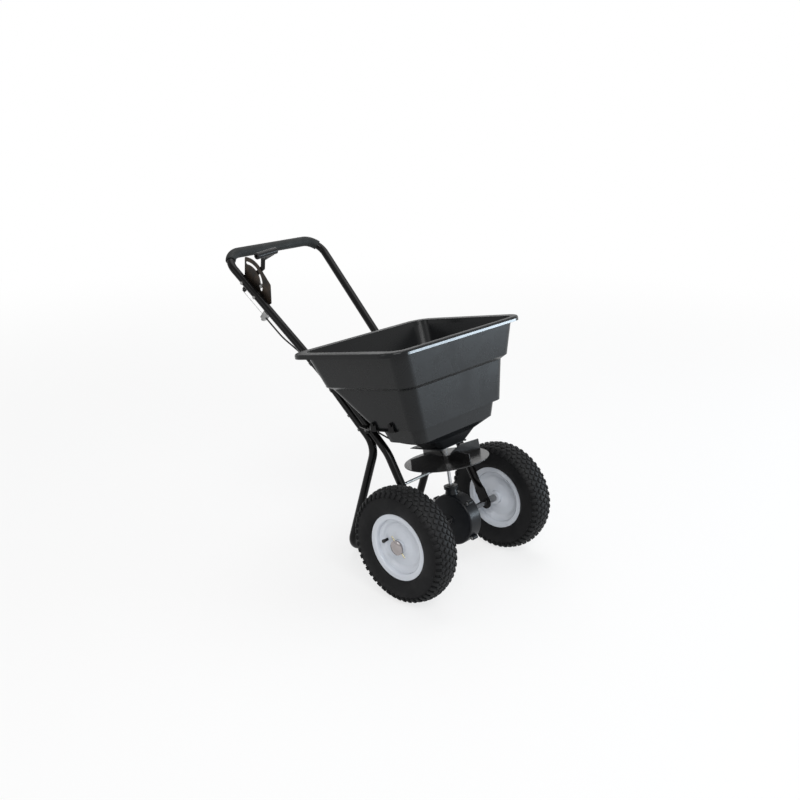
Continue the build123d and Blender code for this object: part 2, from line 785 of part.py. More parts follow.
gear_pitch_step = 360 / gear_teeth

# Ring gear on the axle: toothed face towards the shaft, a web with round windows and a hub
with BuildPart() as ring_gear:
    with BuildSketch(Plane(origin=axle_centre, x_dir=side_dir, z_dir=rear_dir * -1)):
        with BuildLine():
            Polyline((gear_hub_front, axle_radius + press_gap), (gear_hub_front, gear_hub_radius),
                     (gear_web_front, gear_hub_radius),
                     (gear_web_front, gear_root_toe.dot(shaft_dir) - gear_rim_below),
                     (gear_root_toe.X, gear_root_toe.dot(shaft_dir)),
                     (gear_root_heel.X, gear_root_heel.dot(shaft_dir)),
                     (gear_web_back, gear_root_heel.dot(shaft_dir)),
                     (gear_web_back, axle_radius + press_gap), close=True)
        make_face()
    revolve(axis=axle_axis)
    with BuildSketch(leaning_side(gear_web_front - 1)):
        with PolarLocations((gear_hub_radius + gear_pitch) / 2 - gear_web, gear_windows):
            Circle(gear_window_radius)
    extrude(amount=gear_web + 2, mode=Mode.SUBTRACT)
    add([gear_tooth.rotate(axle_axis, (index + 0.5) * gear_pitch_step) for index in range(gear_teeth)])
    bolt_hole(behind_axle(gear_pin_x, 0, tyre_radius), shaft_dir, gear_hub_radius + 1, roll_pin_radius)
finish(ring_gear.part, "ring_gear")

with BuildPart() as ring_gear_pin:
    pin_middle = behind_axle(gear_pin_x, 0, tyre_radius)
    pin_reach = shaft_dir * (gear_hub_radius - 0.5)
    add_rod(pin_middle - pin_reach, pin_middle + pin_reach, roll_pin_radius)
finish(ring_gear_pin.part, "ring_gear_pin")

# Pinion at the lower end of the upright shaft
pinion_back = gear_pitch + pinion_back_gap
pinion_hub_top = case_radius - case_wall - case_inner_gap
pinion_pin_up = (pinion_back + pinion_hub_top) / 2
with BuildPart() as pinion:
    with BuildSketch(Plane(origin=axle_centre, x_dir=side_dir, z_dir=rear_dir * -1)):
        with BuildLine():
            Polyline((shaft_radius + press_gap, pinion_root_toe.dot(shaft_dir)),
                     (pinion_root_toe.X, pinion_root_toe.dot(shaft_dir)),
                     (pinion_root_heel.X, pinion_root_heel.dot(shaft_dir)),
                     (pinion_root_heel.X, pinion_back), (pinion_hub_radius, pinion_back),
                     (pinion_hub_radius, pinion_hub_top), (shaft_radius + press_gap, pinion_hub_top),
                     close=True)
        make_face()
    revolve(axis=shaft_axis)
    add([pinion_tooth.rotate(shaft_axis, index * 360 / pinion_teeth) for index in range(pinion_teeth)])
    bolt_hole(in_body(0, 0, pinion_pin_up), side_dir, pinion_hub_radius + 1, pinion_pin_radius)
finish(pinion.part, "pinion")

with BuildPart() as shaft_pins:
    add_rod(in_body(-pinion_hub_radius, 0, pinion_pin_up), in_body(pinion_hub_radius, 0, pinion_pin_up),
            pinion_pin_radius)
    disc_pin_up = disc_top - disc_thickness - disc_hub_length / 2
    add_rod(in_body(-disc_hub_radius - 2, 0, disc_pin_up), in_body(disc_hub_radius + 2, 0, disc_pin_up),
            roll_pin_radius)
finish(shaft_pins.part, "shaft_pins")

# Gearbox: two moulded halves, split on the shaft's plane, with a tower for the shaft's bushing
boss_circle = case_radius + small_bolt_radius + head_reach
tower_foot = case_radius - case_wall


def gearbox_half(keep):
    with BuildPart() as half:
        with BuildSketch(leaning_side(-case_right)):
            Circle(case_radius)
        extrude(amount=case_right + case_left)
        fillet(half.edges().filter_by(GeomType.CIRCLE), radius=case_edge)
        with BuildSketch(level(tower_foot - tower_root)) as neck:
            Circle(tower_neck)
        extrude(neck.sketch, amount=tower_top - tower_foot + tower_root - case_inner_gap)
        with BuildSketch(level(tower_foot - flare_root)) as flare:
            Circle(case_right - case_inner_gap)
        with BuildSketch(level(tower_foot + flare_height)) as flare_top:
            Circle(tower_neck)
        loft([flare.sketch, flare_top.sketch])
        with BuildSketch(level(tower_top - tower_collar)) as collar:
            Circle(tower_radius)
        extrude(collar.sketch, amount=tower_collar)
        with BuildSketch(leaning_side(-boss_half)) as bosses:
            for angle in boss_angles:
                with Locations((boss_circle * cos(radians(angle)), boss_circle * sin(radians(angle)))):
                    Circle(boss_radius)
        extrude(bosses.sketch, amount=2 * boss_half)
        with BuildSketch(leaning_side(-case_right + case_wall)) as inside:
            Circle(case_radius - case_wall)
        extrude(inside.sketch, amount=case_right + case_left - 2 * case_wall, mode=Mode.SUBTRACT)
        add_rod(in_body(0, 0, tower_foot - tower_root - 2), in_body(0, 0, tower_top + 1),
                shaft_bushing_radius + press_gap, Mode.SUBTRACT)
        add_rod(behind_axle(-2 * case_right, 0, tyre_radius), behind_axle(2 * case_left, 0, tyre_radius),
                axle_bushing_radius + press_gap, Mode.SUBTRACT)
        for angle in boss_angles:
            rear, up = boss_circle * cos(radians(angle)), boss_circle * sin(radians(angle))
            bolt_hole(in_body(0, rear, up), side_dir, boss_half + 1, small_bolt_radius - hole_gap)
        split(bisect_by=Plane.YZ, keep=keep)
    return half.part


finish(gearbox_half(Keep.BOTTOM), "gearbox_right")
finish(gearbox_half(Keep.TOP), "gearbox_left")

with BuildPart() as gearbox_screws:
    for angle in boss_angles:
        seat = in_body(-boss_half, boss_circle * cos(radians(angle)), boss_circle * sin(radians(angle)))
        add_bolt(seat, side_dir, 2 * boss_half - 1, small_bolt_radius - hole_gap)
finish(gearbox_screws.part, "gearbox_screws")

# Upright shaft, its bushings, and the agitator in the hopper
with BuildPart() as shaft_bushings:
    add_bushing(level(tower_top), shaft_radius, tower_top - tower_foot)
    add_bushing(level(floor_bottom + floor_thickness), shaft_radius, floor_thickness)
finish(shaft_bushings.part, "shaft_bushings")

with BuildPart() as impeller_shaft:
    add_rod(in_body(0, 0, shaft_bottom), in_body(0, 0, shaft_top), shaft_radius)
    chamfer(impeller_shaft.edges().filter_by(GeomType.CIRCLE), length=0.8)
    bolt_hole(in_body(0, 0, pinion_pin_up), side_dir, shaft_radius + 1, pinion_pin_radius)
    bolt_hole(in_body(0, 0, disc_pin_up), side_dir, shaft_radius + 1, roll_pin_radius)
    bolt_hole(in_body(0, 0, agitator_height), side_dir, shaft_radius + 1, agitator_radius)
finish(impeller_shaft.part, "impeller_shaft")

with BuildPart() as agitator:
    reach, rise = agitator_reach, agitator_height + agitator_rise
    add_tube((in_body(-reach, 0, rise), in_body(-reach, 0, agitator_height),
              in_body(reach, 0, agitator_height), in_body(reach, 0, rise)), [agitator_bend, agitator_bend],
             agitator_radius, 0)
finish(agitator.part, "agitator")

# Spreading disc with four thin fins and a pinned hub
with BuildPart() as impeller_disc:
    with BuildSketch(level(disc_top - disc_thickness)):
        ring(disc_radius, shaft_radius + press_gap)
    extrude(amount=disc_thickness)
    fillet(impeller_disc.edges().filter_by(GeomType.CIRCLE).group_by(SortBy.RADIUS)[-1], radius=1)
    add_ring(level(disc_top - disc_thickness - disc_hub_length), disc_hub_radius, shaft_radius + press_gap,
             disc_hub_length)
    add_ring(level(disc_top), disc_hub_radius, shaft_radius + press_gap, fin_root_height)
    for index in range(fin_count):
        angle = radians(fin_angle + index * 360 / fin_count)
        along = side_dir * cos(angle) + rear_dir * sin(angle)
        fin_plane = Plane(origin=in_body(0, 0, disc_top), x_dir=along, z_dir=along.cross(shaft_dir))
        with BuildSketch(fin_plane) as fin:
            with BuildLine():
                Polyline((disc_hub_radius - 2, -1), (disc_hub_radius - 2, fin_root_height),
                         (fin_root, fin_root_height), (fin_shoulder, fin_height),
                         (disc_radius - 5, fin_height), (disc_radius - 3, -1), close=True)
            make_face()
        extrude(fin.sketch, amount=fin_thickness / 2, both=True)
    bolt_hole(in_body(0, 0, disc_pin_up), side_dir, disc_hub_radius + 1, roll_pin_radius)
finish(impeller_disc.part, "impeller_disc")

# Wheels: pneumatic tyre on a rim with two dished discs welded to a hub tube
flange_inner = flange_half - rim_sheet


def other_side(point):
    """The same point of a wheel's section, on the other side of its middle."""
    return -point[0], point[1]


def tyre(x):
    with BuildPart() as casing:
        with BuildSketch(wheel_section(x)):
            with BuildLine():
                bead_face = flange_inner - seat_gap
                shoulder = (shoulder_half, tyre_radius - shoulder_drop)
                wall_foot = (flange_half, flange_radius + 1.5)
                outside = [wall_foot, sidewall_low, (tyre_width / 2, belly_radius), sidewall_high, shoulder]
                inside = [(bead_toe, bead_radius), *tyre_inside]
                bead = [(bead_toe, bead_radius), (bead_half - 1.5, bead_radius), (bead_face, bead_radius + 4),
                        (bead_face, flange_radius), wall_foot]
                Polyline(*bead)
                Spline(*outside)
                ThreePointArc(shoulder, (0, tyre_radius), other_side(shoulder))
                Spline(*[other_side(point) for point in outside[::-1]])
                Polyline(*[other_side(point) for point in bead[::-1]])
                Spline(*[other_side(point) for point in inside], (0, tyre_inside_crown), *inside[::-1])
            make_face()
        revolve(axis=axle_axis)
    return casing.part


def rim(x, sign):
    with BuildPart() as wheel:
        with BuildSketch(wheel_section(x)) as barrel:
            with BuildLine():
                FilletPolyline((flange_inner, flange_radius), (flange_inner, bead_radius + 2),
                               (bead_half, bead_radius - seat_gap), (well_half + 5, bead_radius - 1.5),
                               (well_half, well_radius), (-well_half, well_radius),
                               (-well_half - 5, bead_radius - 1.5), (-bead_half, bead_radius - seat_gap),
                               (-flange_inner, bead_radius + 2), (-flange_inner, flange_radius),
                               radius=well_bend)
                offset(amount=rim_sheet, side=Side.LEFT)
            make_face()
        revolve(barrel.sketch, axis=axle_axis)
        for face in (-1, 1):
            with BuildSketch(wheel_section(x)) as dish:
                with BuildLine():
                    corners = [*dish_points, (dish_at_hub, hub_radius + press_gap)]
                    FilletPolyline(*[(face * across, out) for across, out in corners], radius=dish_bend)
                    offset(amount=disc_sheet, side=Side.LEFT if face > 0 else Side.RIGHT)
                make_face()
            revolve(dish.sketch, axis=axle_axis)
        valve_axis = behind_axle(x, valve_reach, tyre_radius)
        valve_hole_end = valve_axis + side_dir * sign * flange_half
        add_rod(valve_axis, valve_hole_end, valve_radius + press_gap, Mode.SUBTRACT)
    return wheel.part


def dome_middle(corner, radius, apex, sign):
    """Middle of the arc of a dome that is round about the axle."""
    rise = apex - corner
    dome_radius = (radius ** 2 + rise ** 2) / (2 * rise)
    half_angle = asin(radius / dome_radius) / 2
    return sign * (apex - dome_radius * (1 - cos(half_angle))), dome_radius * sin(half_angle)


for name, sign in sides.items():
    x = sign * half_track
    outward = side_dir * sign
    finish(tyre(x), f"tyre_{name}")
    finish(rim(x, sign), f"rim_{name}")
    hub_bore = axle_radius + (press_gap if sign < 0 else running_gap)
    with BuildPart() as hub:
        hub_end = Plane(origin=behind_axle(x - hub_half, 0, tyre_radius), z_dir=side_dir)
        add_ring(hub_end, hub_radius, hub_bore, 2 * hub_half)
        if sign < 0:
            pin_middle = behind_axle(drive_pin_x, 0, tyre_radius)
            bolt_hole(pin_middle, drive_pin_dir, hub_radius + 1, drive_pin_radius)
    finish(hub.part, f"hub_{name}")
    # Pressed cap over the hub's outer end
    cap_start, cap_corner = hub_half - cap_overlap, hub_half + 1
    cap_radius = hub_radius + seat_gap + cap_sheet
    with BuildPart() as cap:
        with BuildSketch(wheel_section(x)):
            with BuildLine():
                dome, skirt = hub_half + cap_dome, cap_radius - cap_sheet
                corner, inner_corner = sign * cap_corner, sign * (cap_corner - 0.5)
                Polyline((sign * cap_start, skirt), (sign * cap_start, cap_radius), (corner, cap_radius))
                ThreePointArc((corner, cap_radius), dome_middle(cap_corner, cap_radius, dome, sign),
                              (sign * dome, 0))
                Line((sign * dome, 0), (sign * (dome - cap_sheet), 0))
                ThreePointArc((sign * (dome - cap_sheet), 0),
                              dome_middle(cap_corner - 0.5, skirt, dome - cap_sheet, sign),
                              (inner_corner, skirt))
                Line((inner_corner, skirt), (sign * cap_start, skirt))
            make_face()
        revolve(axis=axle_axis)
    finish(cap.part, f"hub_cap_{name}")
    valve_axis = behind_axle(x, valve_reach, tyre_radius)
    with BuildPart() as valve:
        add_rod(valve_axis + outward * valve_start, valve_axis + outward * valve_end, valve_radius)
    finish(valve.part, f"valve_stem_{name}")
    with BuildPart() as valve_cap:
        add_rod(valve_axis + outward * valve_end, valve_axis + outward * valve_cap_end, valve_cap_radius)
        chamfer(valve_cap.edges().filter_by(GeomType.CIRCLE), length=0.8)
    finish(valve_cap.part, f"valve_cap_{name}")

with BuildPart() as drive_pin:
    pin_middle = behind_axle(drive_pin_x, 0, tyre_radius)
    add_rod(pin_middle - drive_pin_dir * drive_pin_half, pin_middle + drive_pin_dir * drive_pin_half,
            drive_pin_radius)
finish(drive_pin.part, "drive_pin")

# Push-on washer that keeps the free wheel on the axle, under its cap
with BuildPart() as retaining_washer:
    add_ring(Plane(origin=behind_axle(half_track + hub_half + seat_gap, 0, tyre_radius), z_dir=side_dir),
             axle_radius + washer_reach, axle_radius + press_gap, washer_sheet)
finish(retaining_washer.part, "retaining_washer")

# Shut-off gate under the floor, its guides and the clevis that its wire pulls
gate_top = floor_bottom - seat_gap
gate_bottom = gate_top - gate_thickness
guide_bottom = gate_bottom - seat_gap - guide_sheet
guide_half = gate_half_width + seat_gap + guide_sheet
guide_length = gate_rear - gate_front + guide_past_gate
guide_middle = (gate_front + gate_rear + guide_past_gate) / 2
window_offset = -(port_length + closed_overlap) - lever_min * gate_travel_per_degree
cable_up = gate_bottom - cable_drop
strap_front = gate_rear + strap_behind_gate
with BuildPart() as gate_guides:
    for sign in sides.values():
        with BuildSketch(leaning_side(sign * (guide_half - guide_sheet))) as web:
            with Locations((guide_middle, (floor_bottom + guide_bottom) / 2 - press_gap)):
                Rectangle(guide_length, floor_bottom - guide_bottom)
        extrude(web.sketch, amount=sign * guide_sheet)
        with BuildSketch(leaning_side(sign * (guide_half - guide_lip))) as lip_strip:
            with Locations((guide_middle, guide_bottom + guide_sheet / 2 - press_gap)):
                Rectangle(guide_length, guide_sheet)
        extrude(lip_strip.sketch, amount=sign * guide_lip)
    # Cross strap behind the gate, with an upright ear that holds the end of the cable
    with BuildSketch(level(guide_bottom - press_gap)) as strap:
        with Locations((0, strap_front + strap_width / 2)):
            Rectangle(2 * guide_half, strap_width)
        with Locations((0, (strap_front + cable_stop_rear) / 2)):
            Rectangle(ear_width, cable_stop_rear - strap_front)
    extrude(strap.sketch, amount=guide_sheet)
    ear_low, ear_high = cable_up - 2 * cable_radius, guide_bottom + guide_sheet - press_gap
    with BuildSketch(Plane(origin=in_body(0, cable_stop_rear, 0), x_dir=side_dir, z_dir=rear_dir)) as ear:
        with Locations((0, -(ear_low + ear_high) / 2)):
            Rectangle(ear_width, ear_high - ear_low)
        with Locations((0, -cable_up)):
            Circle(cable_radius + press_gap, mode=Mode.SUBTRACT)
    extrude(ear.sketch, amount=-ear_sheet)
finish(gate_guides.part, "gate_guides")

with BuildPart() as shut_off_gate:
    with BuildSketch(level(gate_bottom)):
        with Locations((0, (gate_front + gate_rear) / 2)):
            RectangleRounded(2 * gate_half_width, gate_rear - gate_front, port_corner)
        with Locations((-port_centre, window_offset), (port_centre, window_offset)):
            RectangleRounded(port_width, port_length, port_corner, mode=Mode.SUBTRACT)
        with Locations((0, shaft_slot_rear)):
            RectangleRounded(2 * shaft_bushing_radius + 4, shaft_slot_length, shaft_slot_corner,
                             mode=Mode.SUBTRACT)
    extrude(amount=gate_thickness)
finish(shut_off_gate.part, "shut_off_gate")

with BuildPart() as gate_clevis:
    clevis_middle = gate_rear - clevis_length / 2 - clevis_corner
    with BuildSketch(level(cable_up - clevis_below_wire)) as clevis_block:
        with Locations((0, clevis_middle)):
            RectangleRounded(clevis_width, clevis_length, clevis_corner)
    extrude(clevis_block.sketch, amount=gate_bottom - cable_up + clevis_below_wire - press_gap)
    add_rod(in_body(0, gate_front, cable_up), in_body(0, gate_rear, cable_up), wire_radius + press_gap,
            Mode.SUBTRACT)
finish(gate_clevis.part, "gate_clevis")

with BuildPart() as lower_wire:
    add_rod(in_body(0, clevis_middle - clevis_length / 2, cable_up), in_body(0, lower_wire_rear, cable_up),
            wire_radius)
finish(lower_wire.part, "lower_wire")

# Quadrant plate inside the right side tube, with an arc slot for the stop
plate_n = tube_radius + seat_gap


def from_pivot(radius, angle):
    """Point of the control plate at a radius and an angle from the pivot."""
    return radius * cos(radians(angle)), radius * sin(radians(angle))


with BuildPart() as quadrant_plate:
    with BuildSketch(control_plane(plate_n)) as outline:
        with BuildLine():
            rim_start, rim_middle, rim_end = [from_pivot(plate_rim_radius, angle) for angle in
                                              (plate_rim_start, plate_rim_middle, plate_rim_end)]
            ThreePointArc(rim_start, rim_middle, rim_end)
            Polyline(rim_end, *plate_corners, rim_start)
        make_face()
        fillet(outline.vertices(), radius=plate_corner_radius)
    extrude(amount=plate_thickness)
    with BuildSketch(control_plane(plate_n)):
        with BuildLine():
            outer_arc = CenterArc((0, 0), slot_radius + slot_width / 2, slot_start, slot_end - slot_start)
            inner_arc = CenterArc((0, 0), slot_radius - slot_width / 2, slot_start, slot_end - slot_start)
            Line(outer_arc @ 0, inner_arc @ 0)
            Line(outer_arc @ 1, inner_arc @ 1)
        make_face()
        for angle in (slot_start, slot_end):
            with Locations(from_pivot(slot_radius, angle)):
                Circle(slot_width / 2)
    extrude(amount=plate_thickness, mode=Mode.SUBTRACT)
    for a in quadrant_bolt_points:
        bolt_hole(control(a, 0, plate_n), control_n, 10, frame_bolt_radius)
finish(quadrant_plate.part, "quadrant_plate")


def add_strap(start, end, width):
    """Flat bar with round ends between two points of a sketch."""
    run = Vector(*end) - Vector(*start)
    with Locations((Vector(*start) + Vector(*end)) * 0.5):
        SlotCenterToCenter(run.length, width, rotation=degrees(atan2(run.Y, run.X)))


# Control lever: strap on the pivot bolt, its lower arm slotted for the wire
lever_n = plate_n + plate_thickness + seat_gap
lever_middle = lever_n + lever_thickness / 2
eye_reach = wire_drop / cos(radians(lever_min))
with BuildPart() as control_lever:
    with BuildSketch(control_plane(lever_n)):
        add_strap((0, 0), (0, -wire_drop - lever_eye_margin), lever_width)
        add_strap((0, 0), (lever_elbow_a, lever_elbow_b), lever_width)
        add_strap((lever_elbow_a, lever_elbow_b), (stem_a, stem_b), lever_width)
        add_strap((stem_a, stem_b), (stem_a, stem_b + lever_stem_end), lever_width)
        Circle(lever_width / 2 + lever_boss)
        Circle(frame_bolt_radius + running_gap, mode=Mode.SUBTRACT)
        with Locations((0, -(wire_drop + eye_reach) / 2)):
            SlotOverall(eye_reach - wire_drop + wire_slot_margin, wire_slot_width, rotation=90,
                        mode=Mode.SUBTRACT)
    extrude(amount=lever_thickness)
finish(control_lever.part, "control_lever")

# T-shaped hand grip moulded round the lever's end
knob_b = stem_b + knob_above_stem
knob_foot = stem_b - knob_below_stem
gusset_end = lever_middle + knob_long - gusset_from_end
with BuildPart() as lever_knob:
    knob_start = control(stem_a, knob_b, lever_middle - knob_short)
    add_rod(knob_start, control(stem_a, knob_b, lever_middle + knob_long), knob_radius)
    fillet(lever_knob.edges().filter_by(GeomType.CIRCLE), radius=knob_edge)
    with BuildSketch(Plane(origin=control(stem_a, 0, 0), x_dir=control_n, z_dir=control_a * -1)) as gusset:
        with BuildLine():
            Polyline((lever_middle - gusset_left, knob_foot), (lever_middle + gusset_right, knob_foot),
                     (gusset_end, knob_b - gusset_rise), (gusset_end, knob_b),
                     (lever_middle - gusset_shoulder, knob_b),
                     (lever_middle - gusset_left, knob_b - 2 * gusset_rise), close=True)
        make_face()
    extrude(gusset.sketch, amount=lever_width / 2 + lever_boss, both=True)
    add_rod(knob_start, control(stem_a, knob_b, lever_middle - knob_wall), knob_radius / 2, Mode.SUBTRACT)
    socket_foot = control(stem_a, knob_foot - 1, lever_middle)
    socket_depth = stem_b + lever_stem_end + lever_width / 2 - knob_foot + 1 + press_gap
    with BuildSketch(Plane(origin=socket_foot, x_dir=control_a, z_dir=control_b)) as socket:
        Rectangle(lever_width + 2 * socket_past_lever, lever_thickness + 2 * press_gap)
    extrude(socket.sketch, amount=socket_depth, mode=Mode.SUBTRACT)
finish(lever_knob.part, "lever_knob")

lever_nut_n = lever_n + lever_thickness + seat_gap
plate_nut_n = plate_n + plate_thickness + press_gap
with BuildPart() as quadrant_bolts:
    for a, nut_n in zip(quadrant_bolt_points, (lever_nut_n, plate_nut_n)):
        bolt_length = tube_radius + nut_n + nut_height + thread_past_nut
        add_bolt(control(a, 0, -tube_radius), control_n, bolt_length, frame_bolt_radius)
finish(quadrant_bolts.part, "quadrant_bolts")

with BuildPart() as quadrant_nuts:
    for a, nut_n in zip(quadrant_bolt_points, (lever_nut_n, plate_nut_n)):
        add_nut(control(a, 0, nut_n), control_n, frame_bolt_radius)
finish(quadrant_nuts.part, "quadrant_nuts")

# Stop in the slot: a bolt with a wing nut, wings along the radius
stop_a, stop_b = from_pivot(slot_radius, stop_angle)
with BuildPart() as stop_bolt:
    stop_seat = control(stop_a, stop_b, plate_n - 2 * running_gap)
    add_bolt(stop_seat, control_n, stop_bolt_length, frame_bolt_radius)
finish(stop_bolt.part, "stop_bolt")

wing_n = plate_n + plate_thickness + 2 * running_gap
with BuildPart() as wing_nut:
    wing_seat = control(stop_a, stop_b, wing_n)
    add_ring(Plane(origin=wing_seat, z_dir=control_n), frame_bolt_radius + wing_collar,
             frame_bolt_radius + press_gap, nut_height)
    radial = (control_a * stop_a + control_b * stop_b).normalized()
    for outward in (radial * -1, radial):
        with BuildSketch(Plane(origin=wing_seat, x_dir=outward, z_dir=outward.cross(control_n))) as wing:
            with BuildLine():
                Polyline(*wing_outline, close=True)
            make_face()
            fillet(wing.vertices().sort_by(Axis.X)[-3:], radius=wing_edge)
        extrude(wing.sketch, amount=wing_half_thickness, both=True)
finish(wing_nut.part, "wing_nut")

# Clamp under the side tube that holds the upper end of the cable
clamp_low = -wire_drop - cable_radius - clamp_below_cable
with BuildPart() as cable_clamp:
    clamp_end = Plane(origin=control(-cable_start, 0, 0), x_dir=control_n, z_dir=control_a * -1)
    with BuildSketch(clamp_end) as block:
        with Locations((clamp_screw_side / 2 + clamp_screw_n, (clamp_low - tube_radius - seat_gap) / 2)):
            RectangleRounded(clamp_screw_side + clamp_margin, -tube_radius - seat_gap - clamp_low, clamp_corner)
        with Locations((wire_side, -wire_drop)):
            Circle(cable_radius + press_gap, mode=Mode.SUBTRACT)
    extrude(block.sketch, amount=clamp_length)
    bolt_hole(control(clamp_a, clamp_low / 2, clamp_screw_n), control_b, wire_drop,
              small_bolt_radius - hole_gap)
finish(cable_clamp.part, "cable_clamp")

with BuildPart() as clamp_screw:
    add_bolt(control(clamp_a, clamp_low, clamp_screw_n), control_b, clamp_screw_past - clamp_low - tube_radius,
             small_bolt_radius - hole_gap)
finish(clamp_screw.part, "clamp_screw")

# Inner wire, hooked through the lever's lower arm
with BuildPart() as inner_wire:
    add_tube((control(-wire_length, -wire_drop, wire_side), control(0, -wire_drop, wire_side),
              control(0, -wire_drop, lever_n + lever_thickness + 1.5)), [3], wire_radius, 0)
finish(inner_wire.part, "inner_wire")

# Control cable from the clamp, down inside the side tube's line and in to the gate
cable_route = [control(-cable_start, -wire_drop, wire_side), control(-cable_straight, -wire_drop, wire_side),
               control(-248, -27, 7), control(-300, -18.8, 7.8), control(-352, -17, 8),
               on_line(-134.3, 240, -17.2), on_line(-132.5, 185, -18.4), behind_axle(-120, 296, 447),
               behind_axle(-97, 264, 413), behind_axle(-68, 238, 384), behind_axle(-40, 219, 361),
               behind_axle(-15, 204, 348), in_body(0, cable_tail, cable_up),
               in_body(0, cable_stop_rear - ear_sheet, cable_up)]
cable_radii = []
for before, corner, after in zip(cable_route[:-2], cable_route[1:-1], cable_route[2:]):
    turn = (corner - before).get_angle(after - corner)
    shorter = min((corner - before).length, (after - corner).length)
    cable_radii.append(0.45 * shorter / tan(radians(turn / 2)))
with BuildPart() as control_cable:
    add_tube(cable_route, cable_radii, cable_radius, 0)
    upper_bore_end = control(-wire_length + lever_min * gate_travel_per_degree - 2, -wire_drop, wire_side)
    add_rod(cable_route[0], upper_bore_end, wire_bore, Mode.SUBTRACT)
    lower_bore_end = in_body(0, lower_wire_rear + lever_max * gate_travel_per_degree + 2, cable_up)
    add_rod(cable_route[-1], lower_bore_end, wire_bore, Mode.SUBTRACT)
finish(control_cable.part, "control_cable")

# Clips that hold the cable against the side tube
upper_clip = (cable_route[3] + cable_route[4]) * 0.5
lower_clip = (cable_route[5] + cable_route[6]) * 0.5


def add_clip(tube_point, across, up, cable_point):
    offset_point = cable_point - tube_point
    place = (offset_point.dot(across), offset_point.dot(up))
    with BuildSketch(Plane(origin=tube_point, x_dir=across, z_dir=across.cross(up))) as band:
        Circle(tube_radius + clip_sheet)
        with Locations(place):
            Circle(cable_radius + clip_over_cable)
        make_hull()
        Circle(tube_radius + press_gap, mode=Mode.SUBTRACT)
        with Locations(place):
            Circle(cable_radius + hole_gap, mode=Mode.SUBTRACT)
    extrude(band.sketch, amount=clip_half, both=True)


with BuildPart() as cable_clips:
    upper_a = (upper_clip - pivot).dot(control_a)
    add_clip(control(upper_a, 0), control_n, control_b, upper_clip)
    lower_run = (lower_clip - behind_axle(0, knee_y, knee_z)).dot(line_dir)
    add_clip(on_line(-half_spacing, lower_run), side_dir, line_up, lower_clip)
finish(cable_clips.part, "cable_clips")
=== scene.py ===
import json
from math import acos, asin, cos, hypot, pi, radians, sin, sqrt, tan

import bmesh
import bpy
from mathutils import Matrix, Vector


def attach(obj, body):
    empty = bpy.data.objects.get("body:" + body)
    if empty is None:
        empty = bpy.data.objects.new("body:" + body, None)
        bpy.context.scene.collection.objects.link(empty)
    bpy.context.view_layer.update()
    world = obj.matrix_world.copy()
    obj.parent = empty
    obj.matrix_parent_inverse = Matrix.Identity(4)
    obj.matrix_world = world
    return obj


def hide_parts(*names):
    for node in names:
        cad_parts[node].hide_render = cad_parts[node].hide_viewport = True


# Lawn spreader in metres: +Z is up, the handle is at +Y and the front faces -Y.
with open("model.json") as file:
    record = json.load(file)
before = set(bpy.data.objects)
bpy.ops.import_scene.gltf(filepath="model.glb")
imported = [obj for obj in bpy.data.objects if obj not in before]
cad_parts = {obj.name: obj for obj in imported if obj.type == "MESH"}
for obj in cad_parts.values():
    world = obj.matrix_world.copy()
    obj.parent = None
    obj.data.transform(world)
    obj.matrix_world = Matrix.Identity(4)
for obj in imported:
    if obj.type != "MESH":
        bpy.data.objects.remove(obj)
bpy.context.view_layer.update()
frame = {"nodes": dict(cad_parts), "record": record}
bpy.ops.object.select_all(action="DESELECT")
nodes = frame["nodes"]

# Camera at the photograph's viewing angle
camera_place = Vector((-1.9777, -1.89025, 1.4085))
camera_azimuth, camera_elevation, camera_roll = radians(-47.71), radians(19.29), radians(0.12)
camera_back = Vector((sin(camera_azimuth) * cos(camera_elevation),
                      -cos(camera_azimuth) * cos(camera_elevation), sin(camera_elevation)))
bpy.ops.object.camera_add(location=camera_place)
camera = bpy.context.object
camera.name = "camera"
camera.rotation_mode = "QUATERNION"
camera.rotation_quaternion = (-camera_back).to_track_quat("-Z", "Y")
camera.rotation_quaternion @= Matrix.Rotation(camera_roll, 4, "Z").to_quaternion()
camera.data.lens = 43.68
camera.data.sensor_width = 36.0
camera.data.clip_end = 50.0
bpy.context.scene.camera = camera

# Places and sizes taken over from the model
tyre_radius = 0.165
half_track = 0.217
axle_y = -0.30775
wheel_right = Vector((-half_track, axle_y, tyre_radius))
wheel_left = Vector((half_track, axle_y, tyre_radius))
knee_y, knee_z = 0.181, 0.380
bar_y, bar_z = 0.765, 0.8533
bar_half_width, splay_start_x = 0.1925, 0.142
splay_run = 0.275
hopper_up = Vector((0, sin(radians(12)), cos(radians(12))))
lip_depth = 0.013
lip_bottom = hopper_up.dot(Vector((0, axle_y, tyre_radius))) + 0.5407 - lip_depth
handle_bend, grip_radius, grip_turn = 0.055, 0.0155, radians(58)


# Colour, roughness and relief that several finishes share
def new_group(name, inputs, outputs):
    """Node group with named value and colour sockets, and its two end nodes."""
    group = bpy.data.node_groups.new(name, "ShaderNodeTree")
    for socket, kind in inputs:
        group.interface.new_socket(socket, in_out="INPUT", socket_type=kind)
    for socket, kind in outputs:
        group.interface.new_socket(socket, in_out="OUTPUT", socket_type=kind)
    entry = group.nodes.new("NodeGroupInput")
    leaving = group.nodes.new("NodeGroupOutput")
    return group, entry, leaving


